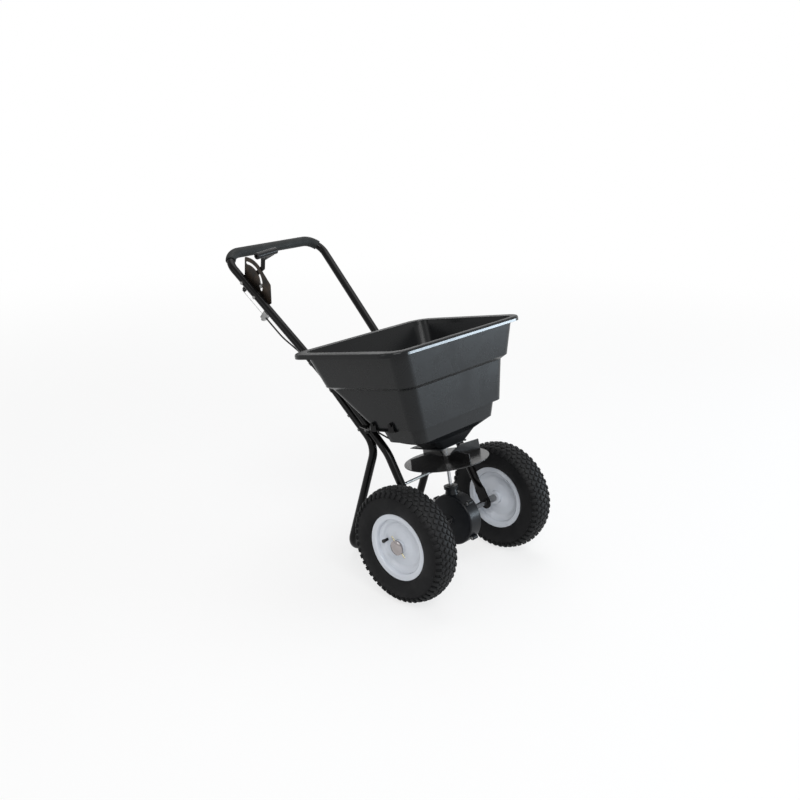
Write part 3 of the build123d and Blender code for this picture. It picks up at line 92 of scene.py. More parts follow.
def uneven_colour_group():
    """Two colours mixed in soft patches of a given size."""
    group, entry, leaving = new_group(
        "uneven colour",
        [("Main Colour", "NodeSocketColor"), ("Patch Colour", "NodeSocketColor"),
         ("Scale", "NodeSocketFloat"), ("Spread", "NodeSocketFloat")],
        [("Colour", "NodeSocketColor")])
    place = group.nodes.new("ShaderNodeTexCoord")
    patches = group.nodes.new("ShaderNodeTexNoise")
    patches.inputs["Detail"].default_value = 4.0
    reach = group.nodes.new("ShaderNodeMapRange")
    reach.inputs["From Min"].default_value = 0.35
    reach.inputs["From Max"].default_value = 0.65
    amount = group.nodes.new("ShaderNodeMath")
    amount.operation = "MULTIPLY"
    mix = group.nodes.new("ShaderNodeMix")
    mix.data_type = "RGBA"
    link = group.links.new
    link(place.outputs["Object"], patches.inputs["Vector"])
    link(entry.outputs["Scale"], patches.inputs["Scale"])
    link(patches.outputs["Fac"], reach.inputs["Value"])
    link(reach.outputs["Result"], amount.inputs[0])
    link(entry.outputs["Spread"], amount.inputs[1])
    link(amount.outputs["Value"], mix.inputs["Factor"])
    link(entry.outputs["Main Colour"], mix.inputs["A"])
    link(entry.outputs["Patch Colour"], mix.inputs["B"])
    link(mix.outputs["Result"], leaving.inputs["Colour"])
    return group


def handling_marks_group():
    """Roughness between two values, in patches with finer smears over them."""
    group, entry, leaving = new_group(
        "handling marks",
        [("Scale", "NodeSocketFloat"), ("Smoothest", "NodeSocketFloat"), ("Roughest", "NodeSocketFloat")],
        [("Roughness", "NodeSocketFloat")])
    place = group.nodes.new("ShaderNodeTexCoord")
    smears = group.nodes.new("ShaderNodeTexNoise")
    smears.inputs["Detail"].default_value = 6.0
    smears.inputs["Roughness"].default_value = 0.6
    smears.inputs["Distortion"].default_value = 0.8
    between = group.nodes.new("ShaderNodeMapRange")
    between.inputs["From Min"].default_value = 0.3
    between.inputs["From Max"].default_value = 0.7
    link = group.links.new
    link(place.outputs["Object"], smears.inputs["Vector"])
    link(entry.outputs["Scale"], smears.inputs["Scale"])
    link(smears.outputs["Fac"], between.inputs["Value"])
    link(entry.outputs["Smoothest"], between.inputs["To Min"])
    link(entry.outputs["Roughest"], between.inputs["To Max"])
    link(between.outputs["Result"], leaving.inputs["Roughness"])
    return group


def fine_grain_group():
    """Height of a fine grain with slower waves under it."""
    group, entry, leaving = new_group(
        "fine grain",
        [("Grain Scale", "NodeSocketFloat"), ("Wave Scale", "NodeSocketFloat"),
         ("Wave Share", "NodeSocketFloat")],
        [("Height", "NodeSocketFloat")])
    place = group.nodes.new("ShaderNodeTexCoord")
    grain = group.nodes.new("ShaderNodeTexNoise")
    grain.inputs["Detail"].default_value = 3.0
    wave = group.nodes.new("ShaderNodeTexNoise")
    wave.inputs["Detail"].default_value = 1.0
    mix = group.nodes.new("ShaderNodeMix")
    link = group.links.new
    link(place.outputs["Object"], grain.inputs["Vector"])
    link(place.outputs["Object"], wave.inputs["Vector"])
    link(entry.outputs["Grain Scale"], grain.inputs["Scale"])
    link(entry.outputs["Wave Scale"], wave.inputs["Scale"])
    link(entry.outputs["Wave Share"], mix.inputs["Factor"])
    link(grain.outputs["Fac"], mix.inputs["A"])
    link(wave.outputs["Fac"], mix.inputs["B"])
    link(mix.outputs["Result"], leaving.inputs["Height"])
    return group


def foam_cells_group():
    """Height of closed foam skin: small rounded cells."""
    group, entry, leaving = new_group(
        "foam cells", [("Cell Scale", "NodeSocketFloat")], [("Height", "NodeSocketFloat")])
    place = group.nodes.new("ShaderNodeTexCoord")
    cells = group.nodes.new("ShaderNodeTexVoronoi")
    cells.feature = "SMOOTH_F1"
    cells.inputs["Smoothness"].default_value = 0.6
    link = group.links.new
    link(place.outputs["Object"], cells.inputs["Vector"])
    link(entry.outputs["Cell Scale"], cells.inputs["Scale"])
    link(cells.outputs["Distance"], leaving.inputs["Height"])
    return group


uneven_colour = uneven_colour_group()
handling_marks = handling_marks_group()
fine_grain = fine_grain_group()
foam_cells = foam_cells_group()


def place_group(tree, group, **values):
    """A shared group in one material, with this material's own values."""
    node = tree.nodes.new("ShaderNodeGroup")
    node.node_tree = group
    for socket, value in values.items():
        node.inputs[socket.replace("_", " ")].default_value = value
    return node


def surface(name, colour, patch, patch_scale, spread, smooth, rough, marks_scale, grain_scale, wave_scale,
            wave_share, relief, metallic=0.0, coat=0.0, coat_rough=0.1, specular=0.5):
    """Finish with uneven colour, handling marks in its gloss and a fine relief."""
    material = bpy.data.materials.new(name)
    material.use_nodes = True
    tree = material.node_tree
    shader = tree.nodes["Principled BSDF"]
    shader.inputs["Metallic"].default_value = metallic
    shader.inputs["Coat Weight"].default_value = coat
    shader.inputs["Coat Roughness"].default_value = coat_rough
    shader.inputs["Specular IOR Level"].default_value = specular
    tint = place_group(tree, uneven_colour, Main_Colour=(*colour, 1), Patch_Colour=(*patch, 1),
                       Scale=patch_scale, Spread=spread)
    marks = place_group(tree, handling_marks, Scale=marks_scale, Smoothest=smooth, Roughest=rough)
    grain = place_group(tree, fine_grain, Grain_Scale=grain_scale, Wave_Scale=wave_scale,
                        Wave_Share=wave_share)
    bump = tree.nodes.new("ShaderNodeBump")
    bump.inputs["Distance"].default_value = relief
    tree.links.new(tint.outputs["Colour"], shader.inputs["Base Color"])
    tree.links.new(marks.outputs["Roughness"], shader.inputs["Roughness"])
    tree.links.new(grain.outputs["Height"], bump.inputs["Height"])
    tree.links.new(bump.outputs["Normal"], shader.inputs["Normal"])
    return material


frame_paint = surface("frame paint", (0.0026, 0.0025, 0.0027), (0.0045, 0.0044, 0.0046), 14, 0.7,
                      0.15, 0.24, 22, 700, 60, 0.5, 0.00006, specular=0.16)
hopper_plastic = surface("hopper plastic", (0.0065, 0.0072, 0.008), (0.0095, 0.01, 0.0105), 6, 0.8,
                         0.24, 0.31, 9, 900, 18, 0.55, 0.00007, specular=0.24)
disc_plastic = surface("disc plastic", (0.008, 0.008, 0.0085), (0.012, 0.012, 0.012), 12, 0.6,
                       0.18, 0.28, 18, 500, 20, 0.85, 0.00002, specular=0.5)
case_plastic = surface("gearbox plastic", (0.0035, 0.0042, 0.0055), (0.0065, 0.0075, 0.0095), 25, 0.7,
                       0.26, 0.38, 25, 900, 60, 0.4, 0.00006, specular=0.2)
plug_plastic = surface("plug plastic", (0.01, 0.01, 0.01), (0.015, 0.015, 0.015), 30, 0.6,
                       0.35, 0.5, 30, 900, 80, 0.4, 0.00006, specular=0.35)
tyre_rubber = surface("tyre rubber", (0.0062, 0.0064, 0.007), (0.0105, 0.0105, 0.011), 22, 0.8,
                      0.5, 0.68, 30, 620, 90, 0.3, 0.00012, specular=0.15)
lever_rubber = surface("lever grip rubber", (0.006, 0.0062, 0.0068), (0.009, 0.0092, 0.0098), 30, 0.6,
                       0.3, 0.4, 40, 800, 90, 0.4, 0.00003, specular=0.25)
rim_enamel = surface("rim enamel", (0.645, 0.68, 0.735), (0.6, 0.63, 0.69), 10, 0.5,
                     0.1, 0.2, 12, 500, 30, 0.75, 0.00005, coat=0.5, coat_rough=0.06, specular=0.4)
cap_chrome = surface("cap chrome", (0.42, 0.39, 0.385), (0.33, 0.3, 0.3), 40, 0.6,
                     0.05, 0.13, 40, 700, 80, 0.6, 0.00003, metallic=1.0)
bright_steel = surface("bright steel", (0.55, 0.55, 0.555), (0.43, 0.43, 0.435), 40, 0.7,
                       0.16, 0.3, 50, 900, 120, 0.4, 0.00004, metallic=1.0)
zinc_plate = surface("zinc plate", (0.38, 0.38, 0.375), (0.24, 0.24, 0.24), 60, 0.8,
                     0.24, 0.4, 70, 900, 160, 0.4, 0.00005, metallic=1.0)
dull_zinc = surface("dull zinc", (0.13, 0.13, 0.13), (0.08, 0.08, 0.08), 60, 0.8,
                    0.3, 0.45, 70, 900, 160, 0.4, 0.00004, metallic=1.0)
yellow_zinc = surface("yellow zinc", (0.46, 0.42, 0.27), (0.36, 0.35, 0.28), 90, 0.8,
                      0.25, 0.38, 70, 900, 160, 0.4, 0.00004, metallic=1.0)
bronze_plate = surface("quadrant plate finish", (0.05, 0.036, 0.026), (0.017, 0.0155, 0.0145), 42, 1.0,
                       0.24, 0.44, 55, 800, 90, 0.5, 0.0001, metallic=0.55)
nylon_white = surface("bushing nylon", (0.68, 0.66, 0.61), (0.58, 0.56, 0.5), 50, 0.6,
                      0.35, 0.5, 50, 800, 100, 0.4, 0.00005)
gear_plastic = surface("gear plastic", (0.16, 0.16, 0.165), (0.1, 0.1, 0.1), 40, 0.7,
                       0.35, 0.5, 40, 800, 100, 0.4, 0.00006)
cable_sheath = surface("cable sheath", (0.01, 0.01, 0.01), (0.018, 0.018, 0.018), 40, 0.6,
                       0.3, 0.42, 50, 700, 60, 0.5, 0.00006, specular=0.35)


def dust_tread(material):
    """Pale road dust on the lugs, thinning out down the tyre's wall."""
    tree = material.node_tree
    shader = tree.nodes["Principled BSDF"]
    clean = shader.inputs["Base Color"].links[0].from_socket
    place = tree.nodes.new("ShaderNodeTexCoord")
    from_axle = tree.nodes.new("ShaderNodeVectorMath")
    from_axle.operation = "SUBTRACT"
    from_axle.inputs[1].default_value = (0, axle_y, tyre_radius)
    across = tree.nodes.new("ShaderNodeVectorMath")
    across.operation = "MULTIPLY"
    across.inputs[1].default_value = (0, 1, 1)
    radius = tree.nodes.new("ShaderNodeVectorMath")
    radius.operation = "LENGTH"
    dusty = tree.nodes.new("ShaderNodeMapRange")
    dusty.inputs["From Min"].default_value = 0.146
    dusty.inputs["From Max"].default_value = 0.162
    mix = tree.nodes.new("ShaderNodeMix")
    mix.data_type = "RGBA"
    mix.inputs["B"].default_value = (0.0185, 0.0188, 0.0195, 1)
    link = tree.links.new
    link(place.outputs["Object"], from_axle.inputs[0])
    link(from_axle.outputs["Vector"], across.inputs[0])
    link(across.outputs["Vector"], radius.inputs[0])
    link(radius.outputs["Value"], dusty.inputs["Value"])
    link(dusty.outputs["Result"], mix.inputs["Factor"])
    link(clean, mix.inputs["A"])
    link(mix.outputs["Result"], shader.inputs["Base Color"])


dust_tread(tyre_rubber)

wall_share, lip_share, top_share = 1.0, 0.45, 1.8


def polish_rim(material):
    """The hopper's rolled lip is smoother than its walls, and its top is scuffed by covers."""
    tree = material.node_tree
    shader = tree.nodes["Principled BSDF"]
    marks = shader.inputs["Roughness"].links[0].from_socket
    place = tree.nodes.new("ShaderNodeTexCoord")
    height = tree.nodes.new("ShaderNodeVectorMath")
    height.operation = "DOT_PRODUCT"
    height.inputs[1].default_value = hopper_up
    up_the_lip = tree.nodes.new("ShaderNodeMapRange")
    up_the_lip.inputs["From Min"].default_value = lip_bottom
    up_the_lip.inputs["From Max"].default_value = lip_bottom + lip_depth
    share = tree.nodes.new("ShaderNodeValToRGB")
    ramp = share.color_ramp.elements
    ramp[0].color, ramp[1].color = (wall_share,) * 3 + (1,), (top_share,) * 3 + (1,)
    for position in (0.06, 0.8):
        ramp.new(position).color = (lip_share,) * 3 + (1,)
    polished = tree.nodes.new("ShaderNodeMath")
    polished.operation = "MULTIPLY"
    tree.links.new(place.outputs["Object"], height.inputs[0])
    tree.links.new(height.outputs["Value"], up_the_lip.inputs["Value"])
    tree.links.new(up_the_lip.outputs["Result"], share.inputs["Fac"])
    tree.links.new(marks, polished.inputs[0])
    tree.links.new(share.outputs["Color"], polished.inputs[1])
    tree.links.new(polished.outputs["Value"], shader.inputs["Roughness"])


polish_rim(hopper_plastic)


def foam_material():
    """Closed-cell foam: dull charcoal with small cells and rubbed, paler patches."""
    material = surface("grip foam", (0.012, 0.0135, 0.0135), (0.021, 0.0235, 0.023), 26, 0.9,
                       0.55, 0.72, 30, 600, 60, 0.5, 0.0002, specular=0.25)
    tree = material.node_tree
    cells = place_group(tree, foam_cells, Cell_Scale=620)
    skin = tree.nodes.new("ShaderNodeBump")
    skin.inputs["Distance"].default_value = 0.0003
    skin.inputs["Strength"].default_value = 0.6
    shader = tree.nodes["Principled BSDF"]
    relief = shader.inputs["Normal"].links[0].from_node
    tree.links.new(cells.outputs["Height"], skin.inputs["Height"])
    tree.links.new(relief.outputs["Normal"], skin.inputs["Normal"])
    tree.links.new(skin.outputs["Normal"], shader.inputs["Normal"])
    return material


grip_foam = foam_material()

finishes = {
    "frame_black": frame_paint, "hopper_black": hopper_plastic, "disc_black": disc_plastic,
    "case_black": case_plastic, "foam_black": lever_rubber, "tyre_rubber": tyre_rubber,
    "rim_white": rim_enamel, "cap_chrome": cap_chrome, "bright_steel": bright_steel, "zinc": zinc_plate,
    "yellow_zinc": yellow_zinc, "plate_bronze": bronze_plate, "nylon": nylon_white,
    "gear_grey": gear_plastic, "cable_black": cable_sheath,
}


def dress(piece, material):
    """The piece takes one material all over."""
    piece.data.materials.clear()
    piece.data.materials.append(material)


for part in frame["record"]["subparts"]:
    dress(nodes[part["node"]], finishes[part["material_slot"]])
dress(nodes["tube_plugs"], plug_plastic)
for node in ("frame_bolts", "frame_nuts"):
    dress(nodes[node], dull_zinc)
for node in ("shut_off_gate", "gate_guides", "shaft_bushings"):
    dress(nodes[node], case_plastic)


# Modelling steps that several pieces use
def edit_piece():
    bpy.ops.object.mode_set(mode="EDIT")


def leave_edit():
    bpy.ops.object.mode_set(mode="OBJECT")


def pick_vertices(piece, wanted):
    """Select in edit mode the vertices whose place passes a test."""
    mesh = bmesh.from_edit_mesh(piece.data)
    for vertex in mesh.verts:
        vertex.select = wanted(vertex.co)
    mesh.select_flush_mode()
    for edge in mesh.edges:
        edge.select = all(vertex.select for vertex in edge.verts)
    for face in mesh.faces:
        face.select = all(vertex.select for vertex in face.verts)
    bmesh.update_edit_mesh(piece.data)


def apply_place(piece):
    """The piece's place, turn and size go into its mesh."""
    bpy.ops.object.select_all(action="DESELECT")
    piece.select_set(True)
    bpy.context.view_layer.objects.active = piece
    bpy.ops.object.transform_apply(location=True, rotation=True, scale=True)


def apply_modifiers(piece):
    bpy.context.view_layer.objects.active = piece
    for modifier in list(piece.modifiers):
        bpy.ops.object.modifier_apply(modifier=modifier.name)


def copy_to(piece, name, move):
    """A copy with its own mesh, moved to its place."""
    twin = piece.copy()
    twin.data = piece.data.copy()
    twin.name = twin.data.name = name
    bpy.context.scene.collection.objects.link(twin)
    twin.data.transform(Matrix.Translation(move))
    return twin


def join_pieces(pieces, name):
    bpy.ops.object.select_all(action="DESELECT")
    for piece in pieces:
        piece.select_set(True)
    bpy.context.view_layer.objects.active = pieces[0]
    bpy.ops.object.join()
    whole = bpy.context.object
    whole.name = whole.data.name = name
    return whole


def spun_profile(name, points, steps):
    """A line drawn vertex by vertex across the wheel, spun about the X axis."""
    bpy.ops.mesh.primitive_plane_add(size=0.01, location=(0, 0, 0))
    piece = bpy.context.object
    piece.name = piece.data.name = name
    edit_piece()
    bpy.ops.mesh.select_all(action="SELECT")
    bpy.ops.mesh.merge(type="CENTER")
    start = Vector((points[0][0], 0, points[0][1]))
    bpy.ops.transform.translate(value=start)
    for here, there in zip(points, points[1:]):
        step = Vector((there[0] - here[0], 0, there[1] - here[1]))
        bpy.ops.mesh.extrude_region_move(TRANSFORM_OT_translate={"value": step})
    bpy.ops.mesh.select_all(action="SELECT")
    bpy.ops.mesh.spin(steps=steps, angle=2 * pi, center=(0, 0, 0), axis=(1, 0, 0))
    bpy.ops.mesh.select_all(action="SELECT")
    bpy.ops.mesh.remove_doubles(threshold=0.00002)
    bpy.ops.mesh.normals_make_consistent(inside=False)
    leave_edit()
    return piece


# Tyres: casing with a smooth wall, and five staggered rows of lugs between shoulder blocks
lug_height = 0.0038
crown_top = tyre_radius - lug_height
crown_arc = 0.055
lugs_round = 50
casing_outside = [(0.0302, 0.0955), (0.0345, 0.0985), (0.0385, 0.106), (0.0408, 0.1145), (0.0414, 0.1235),
                  (0.0408, 0.1335), (0.0388, 0.1425), (0.0356, 0.1487), (0.0318, 0.1523)]


def crown_height(lateral):
    """Radius of the casing's crown at a distance from the wheel's middle."""
    return crown_top - crown_arc + sqrt(crown_arc ** 2 - lateral ** 2)


def tyre_casing():
    crown = [(lateral, crown_height(lateral)) for lateral in (0.027, 0.0205, 0.0138, 0.007)]
    right_half = casing_outside + crown
    left_half = [(-lateral, height) for lateral, height in reversed(right_half)]
    inside = [(-0.0302, 0.0885), (-0.017, 0.0835), (-0.026, 0.1), (-0.034, 0.124), (-0.026, 0.146), (0, 0.152),
              (0.026, 0.146), (0.034, 0.124), (0.026, 0.1), (0.017, 0.0835), (0.0302, 0.0885)]
    outline = right_half + [(0, crown_top)] + left_half + inside + [right_half[0]]
    return spun_profile("tyre_casing", outline, 120)


def crown_lug(lateral, turn):
    """One rounded diamond lug, raised out of a four-sided block and set on the crown."""
    bpy.ops.mesh.primitive_cylinder_add(vertices=4, radius=0.0088, depth=0.008)
    lug = bpy.context.object
    edit_piece()
    pick_vertices(lug, lambda place: place.z > 0)
    bpy.ops.transform.resize(value=(0.84, 0.84, 1))
    bpy.ops.mesh.select_all(action="SELECT")
    bpy.ops.transform.resize(value=(0.82, 1, 1))
    leave_edit()
    corners = lug.modifiers.new("corners", "BEVEL")
    corners.width = 0.0016
    corners.segments = 2
    apply_modifiers(lug)
    lean = asin(lateral / crown_arc)
    lug.data.transform(Matrix.Translation((0, 0, crown_arc - 0.004 + lug_height)))
    lug.data.transform(Matrix.Rotation(lean, 4, "Y"))
    lug.data.transform(Matrix.Translation((0, 0, crown_top - crown_arc)))
    lug.data.transform(Matrix.Rotation(turn, 4, "X"))
    return lug


def shoulder_lug(side, turn):
    """Block over the tyre's shoulder, longer down the wall than across the crown."""
    bpy.ops.mesh.primitive_cube_add(size=1)
    lug = bpy.context.object
    edit_piece()
    bpy.ops.mesh.select_all(action="SELECT")
    bpy.ops.transform.resize(value=(0.017, 0.0105, 0.007))
    pick_vertices(lug, lambda place: place.z > 0)
    bpy.ops.transform.resize(value=(0.86, 0.8, 1))
    leave_edit()
    corners = lug.modifiers.new("corners", "BEVEL")
    corners.width = 0.0014
    corners.segments = 2
    apply_modifiers(lug)
    lug.data.transform(Matrix.Rotation(side * radians(47), 4, "Y"))
    lug.data.transform(Matrix.Translation((side * 0.0345, 0, 0.1505)))
    lug.data.transform(Matrix.Rotation(turn, 4, "X"))
    return lug


def tread():
    """One pitch of the pattern, repeated round the axle."""
    pitch = 2 * pi / lugs_round
    lugs = [crown_lug(lateral, turn) for lateral, turn in
            ((-0.024, 0), (-0.012, pitch / 2), (0, 0), (0.012, pitch / 2), (0.024, 0))]
    lugs += [shoulder_lug(-1, pitch / 2), shoulder_lug(1, pitch / 2)]
    pattern = join_pieces(lugs, "tread")
    bpy.ops.object.empty_add(rotation=(pitch, 0, 0))
    step = bpy.context.object
    around = pattern.modifiers.new("around", "ARRAY")
    around.use_relative_offset = False
    around.use_object_offset = True
    around.offset_object = step
    around.count = lugs_round
    bpy.context.view_layer.update()
    apply_modifiers(pattern)
    bpy.data.objects.remove(step)
    return pattern


tyre_right = join_pieces([tyre_casing(), tread()], "tyre_tread_right")
bpy.context.view_layer.objects.active = tyre_right
bpy.ops.object.shade_smooth_by_angle(angle=radians(38))
tyre_left = copy_to(tyre_right, "tyre_tread_left", wheel_left)
tyre_right.data.transform(Matrix.Translation(wheel_right))
for tyre, node, body in ((tyre_right, "tyre_right", "drive"), (tyre_left, "tyre_left", "free_wheel")):
    dress(tyre, tyre_rubber)
    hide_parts(node)
    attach(tyre, body)

# Foam grip: a ring of foam drawn along the handle's cross bar and round both bends
line_run = hypot(bar_y - knee_y, bar_z - knee_z)
line_dir = Vector((0, bar_y - knee_y, bar_z - knee_z)) / line_run
knee = Vector((0, axle_y + knee_y, knee_z))
splay_point = knee + line_dir * splay_run + Vector((-splay_start_x, 0, 0))
bar_corner = knee + line_dir * line_run + Vector((-bar_half_width, 0, 0))
tube_up = (bar_corner - splay_point).normalized()
tube_in = (Vector((1, 0, 0)) - tube_up * tube_up.x).normalized()
bend_turn = acos(tube_up.x)
bend_reach = handle_bend * tan(bend_turn / 2)
bend_axis = tube_up.cross(tube_in)
end_rounding, end_share, edge_share = 0.0012, 0.8, 0.94
bar_lengths = 12


def foam_grip():
    """Foam drawn from half way round one bend, along the cross bar, to half way round the other."""
    side = Vector((1, 0, 0))
    bend_middle = bar_corner - tube_up * bend_reach + tube_in * handle_bend
    far_middle = Vector((-bend_middle.x, bend_middle.y, bend_middle.z))

    def round_bend(middle, hand, turn):
        return middle + (line_dir * cos(turn) - side * hand * sin(turn)) * handle_bend

    start = round_bend(bend_middle, 1, grip_turn)
    start_dir = line_dir * sin(grip_turn) + side * cos(grip_turn)
    end_turn = end_rounding / handle_bend
    bpy.ops.mesh.primitive_circle_add(vertices=40, radius=grip_radius * end_share, location=start,
                                      rotation=start_dir.to_track_quat("Z", "Y").to_euler())
    grip = bpy.context.object
    grip.name = grip.data.name = "foam_grip"
    apply_place(grip)
    edit_piece()
    bpy.ops.mesh.select_all(action="SELECT")
    # Rounded end of the foam
    bpy.ops.mesh.extrude_region_move()
    bpy.ops.transform.resize(value=(edge_share / end_share,) * 3, center_override=start)
    bpy.ops.mesh.spin(steps=1, angle=-end_turn, center=bend_middle, axis=bend_axis)
    rounded = round_bend(bend_middle, 1, grip_turn - end_turn)
    bpy.ops.transform.resize(value=(1 / edge_share,) * 3, center_override=rounded)
    bpy.ops.mesh.spin(steps=12, angle=-(grip_turn - end_turn), center=bend_middle, axis=bend_axis)
    # Straight bar, in lengths that keep the foam's faces even
    straight = 2 * (bar_half_width - bend_reach)
    for _ in range(bar_lengths):
        bpy.ops.mesh.extrude_region_move(
            TRANSFORM_OT_translate={"value": Vector((straight / bar_lengths, 0, 0))})
    bpy.ops.mesh.spin(steps=12, angle=-(grip_turn - end_turn), center=far_middle, axis=bend_axis)
    bpy.ops.mesh.spin(steps=1, angle=-end_turn, center=far_middle, axis=bend_axis)
    far_end = round_bend(far_middle, -1, grip_turn)
    bpy.ops.transform.resize(value=(edge_share,) * 3, center_override=far_end)
    bpy.ops.mesh.extrude_region_move()
    bpy.ops.transform.resize(value=(end_share / edge_share,) * 3, center_override=far_end)
    bpy.ops.mesh.select_all(action="SELECT")
    bpy.ops.mesh.remove_doubles(threshold=0.00002)
    bpy.ops.mesh.fill_holes(sides=0)
    bpy.ops.mesh.normals_make_consistent(inside=False)
    leave_edit()
    bpy.ops.object.shade_smooth_by_angle(angle=radians(50))
    return grip


grip = foam_grip()
dress(grip, grip_foam)
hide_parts("grip")
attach(grip, "root")


# Top of the hopper's front wall, measured square to the shaft and up it from the axle
lean_back = radians(12)
strip_low, strip_high = 0.5272, 0.5377
strip_half_width, strip_front, strip_corner = 0.24675, -0.11731, 0.03626
strip_past_corner = 0.006
strip_widening, strip_advance = 1.0102, 0.0013
strip_sheet = 0.0036


def front_wall_top():
    """Strip across the wall and round both corners, which leans out as the wall does."""
    corner_centre = strip_front + strip_corner
    bpy.ops.mesh.primitive_plane_add(size=0.01, location=(0, 0, 0))
    piece = bpy.context.object
    piece.name = piece.data.name = "front_wall_top"
    edit_piece()
    bpy.ops.mesh.select_all(action="SELECT")
    bpy.ops.mesh.merge(type="CENTER")
    start = Vector((-strip_half_width, corner_centre + strip_past_corner, strip_low))
    bpy.ops.transform.translate(value=start)
    bpy.ops.mesh.extrude_region_move(TRANSFORM_OT_translate={"value": (0, -strip_past_corner, 0)})
    for side in (-1, 1):
        bpy.ops.mesh.spin(steps=10, angle=-pi / 2, axis=(0, 0, 1),
                          center=(side * (strip_half_width - strip_corner), corner_centre, strip_low))
        if side == -1:
            across = 2 * (strip_half_width - strip_corner)
            bpy.ops.mesh.extrude_region_move(TRANSFORM_OT_translate={"value": (across, 0, 0)})
    bpy.ops.mesh.extrude_region_move(TRANSFORM_OT_translate={"value": (0, strip_past_corner, 0)})
    bpy.ops.mesh.select_all(action="SELECT")
    bpy.ops.mesh.remove_doubles(threshold=0.00002)
    bpy.ops.mesh.extrude_region_move(
        TRANSFORM_OT_translate={"value": (0, -strip_advance, strip_high - strip_low)})
    bpy.ops.transform.resize(value=(strip_widening, 1, 1), center_override=(0, 0, 0))
    leave_edit()
    sheet = piece.modifiers.new("sheet", "SOLIDIFY")
    sheet.thickness = strip_sheet
    sheet.offset = 0.0
    sheet.use_even_offset = True
    apply_modifiers(piece)
    edit_piece()
    bpy.ops.mesh.select_all(action="SELECT")
    bpy.ops.mesh.normals_make_consistent(inside=False)
    leave_edit()
    bpy.ops.object.shade_smooth_by_angle(angle=radians(38))
    piece.data.transform(Matrix.Rotation(-lean_back, 4, "X"))
    piece.data.transform(Matrix.Translation((0, axle_y, tyre_radius)))
    return piece


wall_top = front_wall_top()
dress(wall_top, hopper_plastic)
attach(wall_top, "root")

# Floor, backdrop and light
reflected_share = 0.6


def paper_material():
    """Pale paper that looks white to the camera and in reflections, and keeps the shadow."""
    material = bpy.data.materials.new("studio paper")
    material.use_nodes = True
    tree = material.node_tree
    shader = tree.nodes["Principled BSDF"]
    shader.inputs["Base Color"].default_value = (0.86, 0.86, 0.86, 1)
    shader.inputs["Roughness"].default_value = 0.9
    shader.inputs["Specular IOR Level"].default_value = 0.1
    glow = tree.nodes.new("ShaderNodeEmission")
    glow.inputs["Color"].default_value = (1, 1, 1, 1)
    rays = tree.nodes.new("ShaderNodeLightPath")
    seen = tree.nodes.new("ShaderNodeMath")
    seen.operation = "MULTIPLY_ADD"
    seen.inputs[1].default_value = reflected_share
    all_seen = tree.nodes.new("ShaderNodeMath")
    all_seen.operation = "ADD"
    all_seen.use_clamp = True
    place = tree.nodes.new("ShaderNodeTexCoord")
    distance = tree.nodes.new("ShaderNodeVectorMath")
    distance.operation = "LENGTH"
    reach = tree.nodes.new("ShaderNodeMapRange")
    reach.interpolation_type = "SMOOTHSTEP"
    reach.inputs["From Min"].default_value = 0.6
    reach.inputs["From Max"].default_value = 4.5
    reach.inputs["To Min"].default_value = 0.74
    share = tree.nodes.new("ShaderNodeMath")
    share.operation = "MULTIPLY"
    mix = tree.nodes.new("ShaderNodeMixShader")
    output = tree.nodes["Material Output"]
    link = tree.links.new
    link(rays.outputs["Is Glossy Ray"], seen.inputs[0])
    link(rays.outputs["Is Camera Ray"], seen.inputs[2])
    link(seen.outputs["Value"], all_seen.inputs[0])
    link(rays.outputs["Is Transmission Ray"], all_seen.inputs[1])
    link(place.outputs["Object"], distance.inputs[0])
    link(distance.outputs["Value"], reach.inputs["Value"])
    link(reach.outputs["Result"], share.inputs[1])
    link(all_seen.outputs["Value"], share.inputs[0])
    link(share.outputs["Value"], mix.inputs["Fac"])
    link(shader.outputs["BSDF"], mix.inputs[1])
    link(glow.outputs["Emission"], mix.inputs[2])
    link(mix.outputs["Shader"], output.inputs["Surface"])
    return material


def studio_paper():
    """Floor that turns up into a backdrop behind the object, as the camera sees it."""
    bpy.ops.mesh.primitive_plane_add(size=16, location=(0, 0, -0.0004))
    paper = bpy.context.object
    paper.name = "studio_paper"
    dress(paper, paper_material())
    return paper


studio_paper()


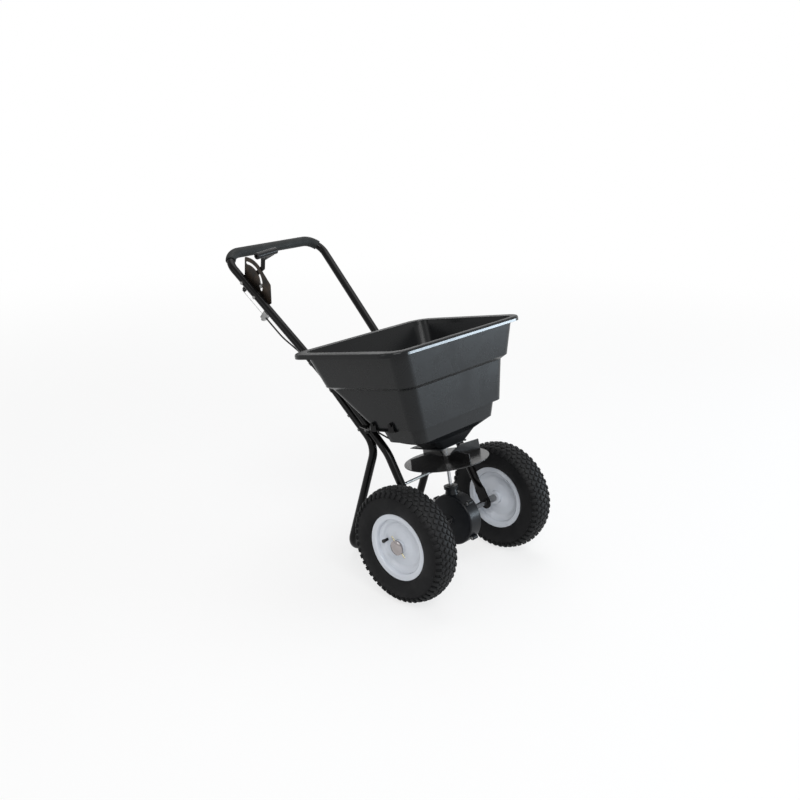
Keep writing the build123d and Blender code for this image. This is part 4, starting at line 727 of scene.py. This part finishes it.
def soft_light(name, place, target, width, height, power):
    bpy.ops.object.light_add(type="AREA", location=place)
    lamp = bpy.context.object
    lamp.name = name
    lamp.data.shape = "RECTANGLE"
    lamp.data.size = width
    lamp.data.size_y = height
    lamp.data.energy = power
    lamp.rotation_euler = (Vector(target) - Vector(place)).to_track_quat("-Z", "Y").to_euler()
    return lamp


soft_light("key_light", (-1.6, -2.6, 3.0), (0, 0, 0.35), 2.2, 1.6, 70)
soft_light("side_light", (-3.2, 0.6, 1.6), (0, 0, 0.4), 1.4, 2.0, 9)
soft_light("top_light", (0.6, 0.3, 3.4), (0, 0, 0.3), 2.4, 2.4, 42)
soft_light("back_light", (2.4, 2.2, 1.8), (0, 0, 0.4), 1.6, 1.6, 9)
strip = soft_light("low_strip_light", (2.5, -2.6, 0.68), (0, -0.3, 0.65), 3.0, 0.24, 71)
strip.data.color = (0.76, 0.89, 1.0)

world = bpy.context.scene.world or bpy.data.worlds.new("studio")
bpy.context.scene.world = world
world.use_nodes = True
sky = world.node_tree.nodes["Background"]
rays = world.node_tree.nodes.new("ShaderNodeLightPath")
seen = world.node_tree.nodes.new("ShaderNodeMath")
seen.operation = "MULTIPLY_ADD"
seen.inputs[1].default_value = reflected_share
all_seen = world.node_tree.nodes.new("ShaderNodeMath")
all_seen.operation = "MAXIMUM"
strength = world.node_tree.nodes.new("ShaderNodeMapRange")
strength.inputs["To Min"].default_value = 0.38
strength.inputs["To Max"].default_value = 1.0
sky.inputs["Color"].default_value = (1, 1, 1, 1)
world.node_tree.links.new(rays.outputs["Is Glossy Ray"], seen.inputs[0])
world.node_tree.links.new(rays.outputs["Is Camera Ray"], seen.inputs[2])
world.node_tree.links.new(seen.outputs["Value"], all_seen.inputs[0])
world.node_tree.links.new(rays.outputs["Is Transmission Ray"], all_seen.inputs[1])
world.node_tree.links.new(all_seen.outputs["Value"], strength.inputs["Value"])
world.node_tree.links.new(strength.outputs["Result"], sky.inputs["Strength"])

bpy.context.scene.view_settings.view_transform = "Standard"
